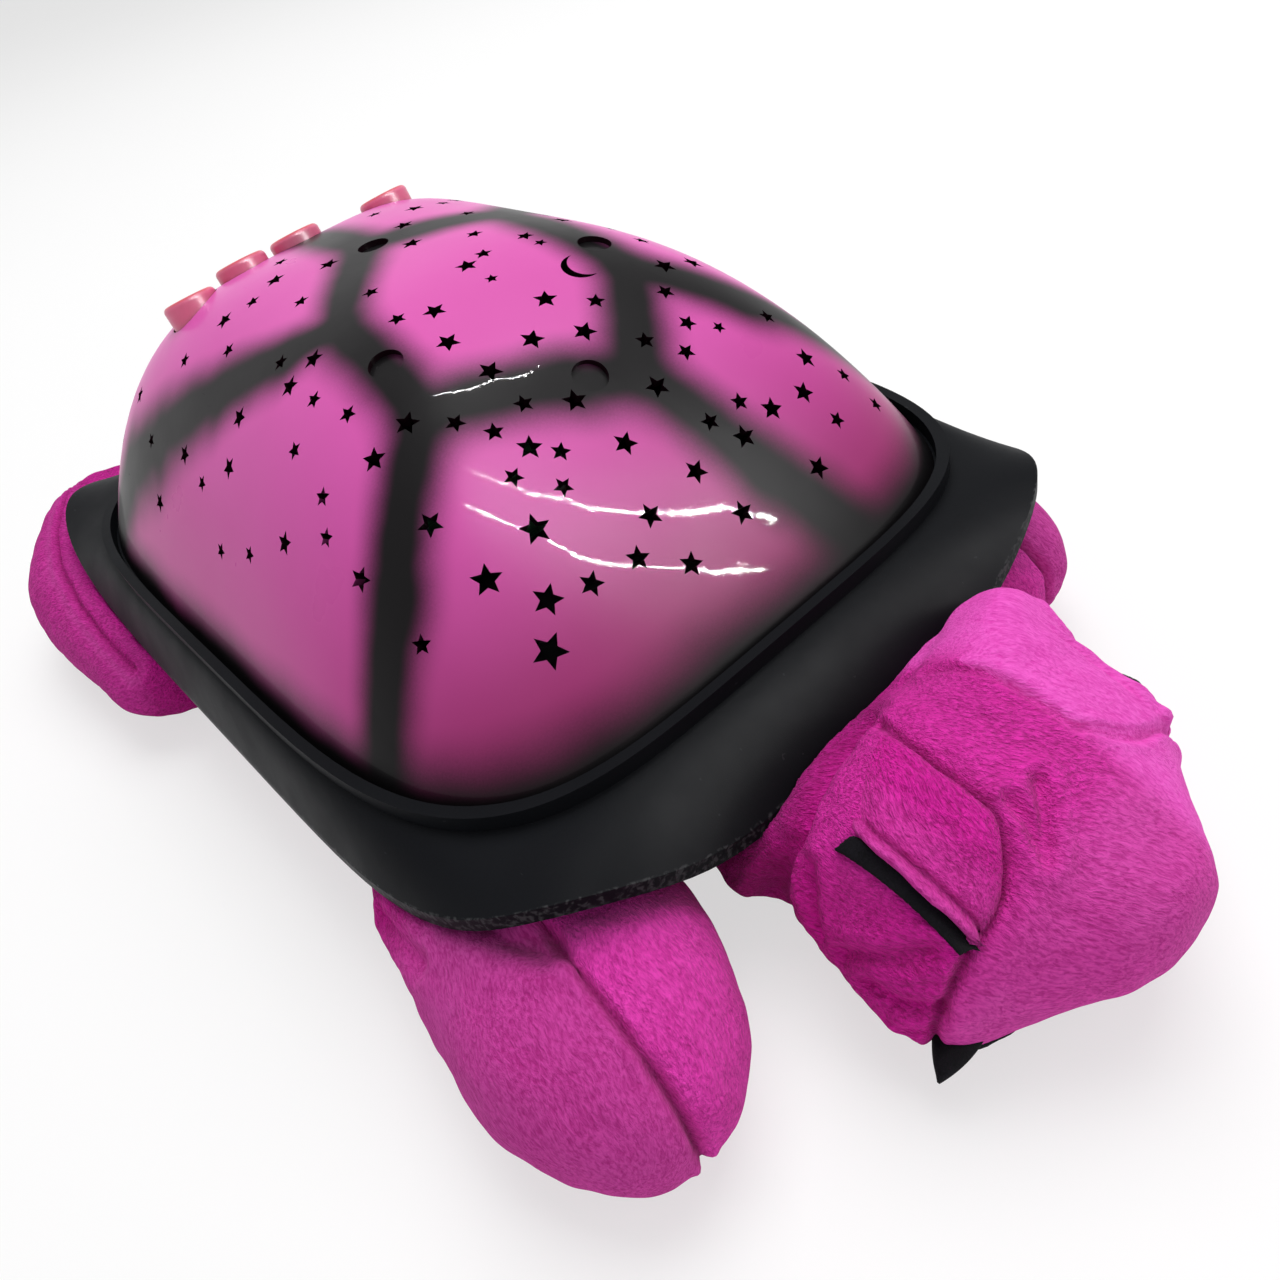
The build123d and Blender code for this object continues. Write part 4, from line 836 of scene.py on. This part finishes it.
def make_mouth(skin):
    """Black felt mouth line round the snout, ending in a leaf that hangs off each cheek."""
    path = []
    slope = math.tan(math.radians(-11))
    for turn in np.linspace(-112, 112, 141):
        dx, dr = math.sin(math.radians(turn)), math.cos(math.radians(turn))
        hub = Vector(at(0, 150, 9.5 + slope * (150 - 163)))
        aim = Vector((dx, -dr, dr * slope)).normalized()
        hit, normal = skin.ray_cast(hub, aim)[:2]
        if hit is not None and SHELL_Y - hit.y > 161.5 * MM:
            path.append((np.array(hit), np.array(normal)))
    rows, bottom = [], []
    for i, (p, normal) in enumerate(path):
        before, after = path[max(i - 1, 0)][0], path[min(i + 1, len(path) - 1)][0]
        along = (after - before) / np.linalg.norm(after - before)
        across = np.cross(normal, along)
        row, under = [], []
        for v in np.linspace(-1, 1, 9):
            height = math.sqrt(max(0, 1 - abs(v) ** 4)) + 0.08 * noise.noise(Vector((i * 0.7, v * 4, 2)))
            row.append(p + across * v * 1.3 * MM + normal * height * MM)
            under.append(p + across * v * 1.3 * MM - normal * 0.7 * MM)
        rows.append(row)
        bottom.append(under)
    made = [(np.array(rows), np.array(bottom))]
    for sign in (-1, 1):
        low = 3.5 if sign > 0 else 0
        heel, toe = (
            np.array([at(sign * x, reach, z - low) for x, reach, z in line]) for line in (LEAF_HEEL, LEAF_TOE)
        )
        rows, bottom = [], []
        for u in np.linspace(0, 1, 31):
            near, far = (((1 - u) ** 2) * c[0] + 2 * u * (1 - u) * c[1] + u * u * c[2] for c in (heel, toe))
            row, under = [], []
            for v in np.linspace(0, 1, 15):
                edge = max(0.08, min(1, v / 0.12, (1 - v) / 0.12, (1 - u) / 0.06))
                lift = np.array((0.45 * sign, 0.0, 0.9)) * 0.55 * math.sqrt(edge) * MM
                belly = np.array((0.3 * sign, 0.2, 0.8)) * 0.7 * math.sin(math.pi * v) * MM
                p = near + v * (far - near) + belly
                row.append(p + lift)
                under.append(p - lift)
            rows.append(row)
            bottom.append(under)
        made.append((np.array(rows), np.array(bottom)))
    pieces = [patch("mouth_%d" % i, *grid) for i, grid in enumerate(made)]
    work = bmesh.new()
    for piece in pieces:
        work.from_mesh(piece.data)
    mesh = bpy.data.meshes.new("mouth")
    work.to_mesh(mesh)
    work.free()
    for piece in pieces:
        old = piece.data
        bpy.data.objects.remove(piece)
        bpy.data.meshes.remove(old)
    mouth = bpy.data.objects.new("mouth_felt_trim", mesh)
    scene.collection.objects.link(mouth)
    smooth_shade(mouth)
    finish_soft(mouth, FINISH["felt_black"], "felt_black", "mouth_felt")


# Flippers and body

# Side, and root and direction in plan, in millimetres from the shell's middle
FRONT = {"right": (-1, (56.5, -52.0), (0.185, -1.0)), "left": (1, (53.0, -24.0), (0.14, -1.0))}
REAR = {"right": (-1, (69.0, 40.0), (-0.078, 1.0)), "left": (1, (69.0, 40.0), (-0.078, 1.0))}


def limb_point(side, root, aim, s, across):
    """Plan point of a limb, as x and reach towards the nose: s along it, and across it outwards."""
    size = math.hypot(*aim)
    dx, dy = aim[0] / size, aim[1] / size
    x = side * (root[0] + s * dx + across * abs(dy))
    return x, -(root[1] + s * dy - across * dx * math.copysign(1, dy))


def limb_place(piece, side, root, aim, back):
    """How far along its limb each point lies, and its side of the back seam: 1 outside, 0 inside."""
    p = spots_of(piece.data)
    size = math.hypot(*aim)
    x, y = p[:, 0] / MM * side - root[0], (p[:, 1] - SHELL_Y) / MM - root[1]
    along = (x * aim[0] + y * aim[1]) / size
    across = x - along * aim[0] / size
    centre = np.interp(along, [s for s, c in back], [c for s, c in back])
    return along, ramp(across - centre, -0.6, 0.6)


def make_flipper(word, node, voxel, side, root, aim, length, seam_across, seed):
    """Flipper of two panels that meet in a seam along its back, with a notch where the seam ends."""
    stations, offsets = zip(*seam_across)
    plan = []
    for s in np.arange(stations[0], length - 4, 1.2):
        plan.append(limb_point(side, root, aim, s, np.interp(s, stations, offsets)))
    near, far = (limb_point(side, root, aim, length + k, offsets[-1]) for k in (-20, 25))

    def lay(skin):
        points = list(drop(plan, skin))
        bend = len(points)
        for z in np.arange(points[-1][2] / MM - 1, 4, -1.2):
            start, end = Vector(at(far[0], far[1], z)), Vector(at(near[0], near[1], z))
            hit = skin.ray_cast(start, (end - start).normalized())[0]
            if hit is not None:
                points.append(np.array(hit))
        return np.array(points), bend

    piece = stuffed(word, node, voxel, 3.6, 1.3, [lay(tree_of(*solid(node)))[0]], 3)
    ruffle(piece, 20, 0.9, seed)
    line, bend = lay(skin_of(piece))
    gap = gaps(piece, [line], True)
    notch = gaps(piece, [line[bend - 4:bend + 9]], True)
    deep = 1.0 if voxel < 5 else 0.6
    carve(piece, (gap, 0.5, 2.8, 0.3), (gap, 1.2 * deep, 0.8, 0.5), (notch, 1.5 * deep, 2.6, 0.0))
    ruffle(piece, 4.5, 0.26, seed + 1)
    put(piece.data, keep_clear(spots_of(piece.data)))
    return piece, gap


def make_front_flipper(word, seed):
    side, root, aim = FRONT[word]
    back = ((8, 1), (30, 0.5), (50, 0), (61, 0), (71, -0.3), (82, -1.1), (91, -1.8))
    node = "front_flipper_" + word
    piece, gap = make_flipper("front_flipper_pad_" + word, node, 4.5, side, root, aim, 98, back, seed)
    folds = (
        (1.9, 2.6, ((34, 16), (46, 11), (57, 6), (63, 2))),
        (1.2, 1.8, ((27, 23), (33, 26), (46, 20))),
        (1.1, 2.4, ((28, 14), (40, 9), (50, 5))),
    )
    skin = skin_of(piece)
    for depth, width, fold in folds:
        dropped = drop([limb_point(side, root, aim, s, c) for s, c in fold], skin)
        if len(dropped) > 1:
            carve(piece, (gaps(piece, [dropped]), depth, width, 0.7))
    put(piece.data, keep_clear(spots_of(piece.data)))
    along, outer = limb_place(piece, side, root, aim, back)
    # Painted sheen on the inner panel towards the tip. The outer panel's pile is paler where its nap lies the
    # other way, a painted sheen, and gets painted shade too; painted shade darkens the seam.
    lit_sheen = 0.30 * (1 - outer) * ramp(along, 40, 70)
    pale = (0.74 * outer + 0.08) * ramp(along, 24, 48)
    tint(piece, pale, 0.66 * np.exp(-(gap / 0.65) ** 2) + 0.16 * outer, lit_sheen)
    lie = (0.25 * side, -1.0, -0.5)
    finish_soft(piece, plush("plush_front_" + word, lie), "plush_magenta", node, fill=0.8)


def make_rear_flipper(word, seed):
    side, root, aim = REAR[word]
    back = ((8, 20), (25, 22), (45, 23), (65, 22), (85, 17), (103, 10), (118, 4))
    node = "rear_flipper_" + word
    piece, gap = make_flipper("rear_flipper_pad_" + word, node, 5.4, side, root, aim, 128, back, seed)
    outer = limb_place(piece, side, root, aim, back)[1]
    # Painted shade all over, more low down and in the seam; a painted highlight on the ridge beside the seam;
    # the outer panel is paler higher up.
    lower = ramp(spots_of(piece.data)[:, 2] / MM, 20, 8)
    ridge = np.exp(-((gap - 3.2) / 1.5) ** 2)
    pale = 0.35 * outer * (1 - lower) + 0.45 * ridge
    tint(piece, pale, 0.30 * np.exp(-(gap / 0.8) ** 2) + 0.22 + 0.22 * lower)
    lie = (0.5 * side, 1.0, -0.4)
    finish_soft(piece, plush("plush_rear_" + word, lie, 0.9), "plush_magenta", node, fill=0.8)


def make_body():
    """Stuffed body: its outer side swells, its pocket and belly opening stay put."""
    low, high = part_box("plush_body")
    mid_y = (low[1] + high[1]) / 2
    half_w, half_l = (high[0] - low[0]) / 2, (high[1] - low[1]) / 2

    def outside(spots):
        x, y = np.abs(spots[:, 0]) / half_w, np.abs(spots[:, 1] - mid_y) / half_l
        z = spots[:, 2]
        return ((x > 0.86) | (y > 0.86)) & (z > 0.004) & (z < 0.030)

    piece = stuffed("body_pad", "plush_body", 4.5, 2.2, 0.55, (), 1, outside)
    ring = []
    for a in np.linspace(0, 2 * math.pi, 73):
        x, y = (math.copysign(abs(k) ** 0.5, k) for k in (math.cos(a), math.sin(a)))
        ring.append(Vector((half_w * x, mid_y + half_l * y, 0.018)))
    skin = skin_of(piece)
    ring = np.array([np.array(skin.find_nearest(p)[0]) for p in ring])
    gap = gaps(piece, [ring], True)
    carve(piece, (gap, 1.1, 1.8, 0.4))
    put(piece.data, keep_clear(spots_of(piece.data)))
    # Painted shade in the seam ring and on the top under the skirt; the pile is paler towards the floor.
    z = spots_of(piece.data)[:, 2]
    tint(piece, 0.25 * ramp(z, 0.016, 0.004), 0.35 * np.exp(-(gap / 1.6) ** 2) + 0.25 * ramp(z, 0.024, 0.034))
    finish_soft(piece, plush("plush_body", (0.1, 1.0, -0.2), 0.9), "plush_magenta", "plush_body", fill=0.7)


def pad_from_box(name, node, rise, edge, nx, ny, stitch):
    """Flat padded panel inside a node's box, with rounded edges and a stitched line inside its edge."""
    low, high = (np.array(c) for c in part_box(node))
    mid, half = (low + high) / 2, (high - low) / 2
    rows, bottom = [], []
    for u in np.linspace(-1, 1, nx):
        row, under = [], []
        for v in np.linspace(-1, 1, ny):
            inset = min((1 - abs(u)) * half[0], (1 - abs(v)) * half[1]) / MM
            corner = 1 - 0.035 * (abs(u) ** 8) * (abs(v) ** 8)
            t = min(1, inset / edge)
            thick = half[2] * (0.35 + 0.65 * math.sqrt(t * (2 - t)))
            line = math.exp(-((inset - stitch) / 0.7) ** 2) * 0.4 * MM
            wave = rise * MM * noise.noise(Vector((u * half[0], v * half[1], 0.3)) / (9 * MM))
            thick = min(max(thick - line + wave * t, 0.2 * MM), half[2])
            spot = mid + half * np.array((u * corner, v * corner, 0))
            row.append(spot + np.array((0, 0, thick)))
            under.append(spot - np.array((0, 0, thick)))
        rows.append(row)
        bottom.append(under)
    return patch(name, rows, bottom)


# Stitch line's distance in millimetres from the flap's edge
FLAP_STITCH = 3.4


def make_flap():
    piece = pad_from_box("belly_flap_pad", "belly_flap", 0.25, 2.2, 72, 96, FLAP_STITCH)
    p = spots_of(piece.data)
    low, high = (np.array(corner[:2]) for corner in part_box("belly_flap"))
    inset = np.minimum(p[:, :2] - low, high - p[:, :2]).min(axis=1)
    # Painted shade along the stitched line.
    tint(piece, 0.25 + 0 * inset, 0.5 * np.exp(-((inset / MM - FLAP_STITCH) / 0.6) ** 2))
    moving = "belly_flap_body"
    pile = plush("plush_flap", (0.1, 1.0, 0.0))
    finish_soft(piece, pile, "plush_magenta", "belly_flap", body=moving, fill=0.25)
    for name, node, body in (("hook_tape", "hook_strip", moving), ("loop_tape", "loop_strip", "turtle")):
        tape = pad_from_box(name, node, 0.12, 0.6, 120, 24, 0.9)
        finish_soft(tape, FINISH["hook_black"], "hook_black", node, body=body)


head = make_head()
head_skin = skin_of(head)
for word, side in (("right", -1), ("left", 1)):
    make_eyelid(side, word, head_skin)
    make_eye_strip(side, word, head_skin)
make_mouth(head_skin)
make_front_flipper("right", 11)
make_front_flipper("left", 23)
make_rear_flipper("right", 37)
make_rear_flipper("left", 41)
make_body()
make_flap()


# Camera, floor and light

def basis(x, y, z, spot):
    """Matrix of three axes at a spot."""
    return Matrix([*zip(x, y, z, spot), (0, 0, 0, 1)])


turn, rise, roll = math.radians(-30.924), math.radians(39.713), math.radians(-17.573)
back = Vector((math.sin(turn) * math.cos(rise), -math.cos(turn) * math.cos(rise), math.sin(rise)))
flat_right = Vector((math.cos(turn), math.sin(turn), 0))
flat_up = back.cross(flat_right)
right = flat_right * math.cos(roll) + flat_up * math.sin(roll)
up = back.cross(right)
eye = Vector((-0.09784, SHELL_Y - 0.21886, 0.1791))
shot = bpy.data.cameras.new("shot")
shot.lens = 29.926
shot.sensor_width = 36
shot.shift_x = -0.0020
shot.shift_y = -0.0024
shot.clip_start = 0.005
camera = bpy.data.objects.new("shot", shot)
camera.matrix_world = basis(right, up, back, eye)
scene.collection.objects.link(camera)
scene.camera = camera


def seen_rays(tree):
    """1 for the rays that show the background, straight on, in gloss or through clear pieces."""
    ray = add(tree, "ShaderNodeLightPath")
    seen = calc(tree, "MAXIMUM", ray.outputs["Is Camera Ray"], ray.outputs["Is Transmission Ray"])
    return calc(tree, "MAXIMUM", seen, ray.outputs["Is Glossy Ray"])


def make_floor():
    made, tree = material("floor_pale")
    where = place(tree)
    colour = mix(tree, speckle(tree, where, 3, 2), rgb(0.90, 0.90, 0.90), rgb(0.93, 0.93, 0.93))
    shader = add(tree, "ShaderNodeBsdfPrincipled", {"Base Color": colour, "Roughness": 0.8})
    paper = add(tree, "ShaderNodeEmission", {"Color": rgb(1, 1, 1), "Strength": 1.0})
    share = calc(tree, "MULTIPLY", seen_rays(tree), 0.62)
    both = add(tree, "ShaderNodeMixShader", {0: share, 1: shader.outputs[0], 2: paper.outputs[0]})
    tree.links.new(both.outputs[0], add(tree, "ShaderNodeOutputMaterial").inputs[0])
    corners, radius = 96, 12
    turns = np.linspace(0, 2 * math.pi, corners + 1)[:-1]
    ring = [(radius * math.cos(a), radius * math.sin(a), -0.0001) for a in turns]
    floor = new_piece("floor", ring, [tuple(range(corners))])
    floor.data.materials.append(made)


def panel_lamp(name, size, power):
    lamp = bpy.data.lights.new(name, "AREA")
    lamp.shape = "RECTANGLE"
    lamp.size, lamp.size_y = size
    lamp.energy = power
    holder = bpy.data.objects.new(name, lamp)
    holder.visible_camera = False
    scene.collection.objects.link(holder)
    return holder


def soft_box(name, spot, target, size, power):
    """Large lamp that lights the toy and isn't mirrored in it."""
    holder = panel_lamp(name, size, power)
    holder.location = spot
    holder.rotation_euler = (Vector(target) - Vector(spot)).to_track_quat("-Z", "Y").to_euler()
    holder.visible_glossy = False


# Focal length and middle of the 1280-pixel picture, in its pixels
FOCAL = 1064.0
MIDDLE = (642.56, 636.93)
DOME = tree_of(*solid("shell_dome"))


def glint(name, a, b, thick, power):
    """Narrow lamp whose mirror image lies on the dome between two points of the picture."""
    ends = []
    for u, v in (a, b):
        aim = (right * ((u - MIDDLE[0]) / FOCAL) - up * ((v - MIDDLE[1]) / FOCAL) - back).normalized()
        hit, normal = DOME.ray_cast(eye, aim)[:2]
        ends.append(hit + (aim - 2 * aim.dot(normal) * normal) * 1.1)
    middle = (ends[0] + ends[1]) / 2
    along = (ends[1] - ends[0]).normalized()
    away = middle - Vector((0, SHELL_Y, 0.08))
    away = (away - away.dot(along) * along).normalized()
    holder = panel_lamp(name, ((ends[1] - ends[0]).length, thick), power)
    holder.matrix_world = basis(along, away.cross(along), away, middle)
    holder.visible_diffuse = False


make_floor()
soft_box("key", (0.50, 0.25, 1.5), (0, -0.03, 0.03), (1.3, 1.3), 23)
soft_box("fill", (-0.7, -1.2, 0.9), (0, -0.05, 0.04), (1.2, 0.8), 3.0)
glint("tube_far", (466, 470), (780, 522), 0.004, 17.0)
glint("tube_near", (474, 507), (770, 572), 0.004, 17.0)
glint("tube_top", (432, 396), (548, 366), 0.003, 4.0)
world = bpy.data.worlds.new("studio")
scene.world = world
world.use_nodes = True
sky = world.node_tree
sky.nodes.clear()
level = calc(sky, "MULTIPLY_ADD", seen_rays(sky), 0.68, 0.32)
paper = add(sky, "ShaderNodeBackground", {"Color": rgb(1, 1, 1), "Strength": level})
sky.links.new(paper.outputs[0], add(sky, "ShaderNodeOutputWorld").inputs[0])
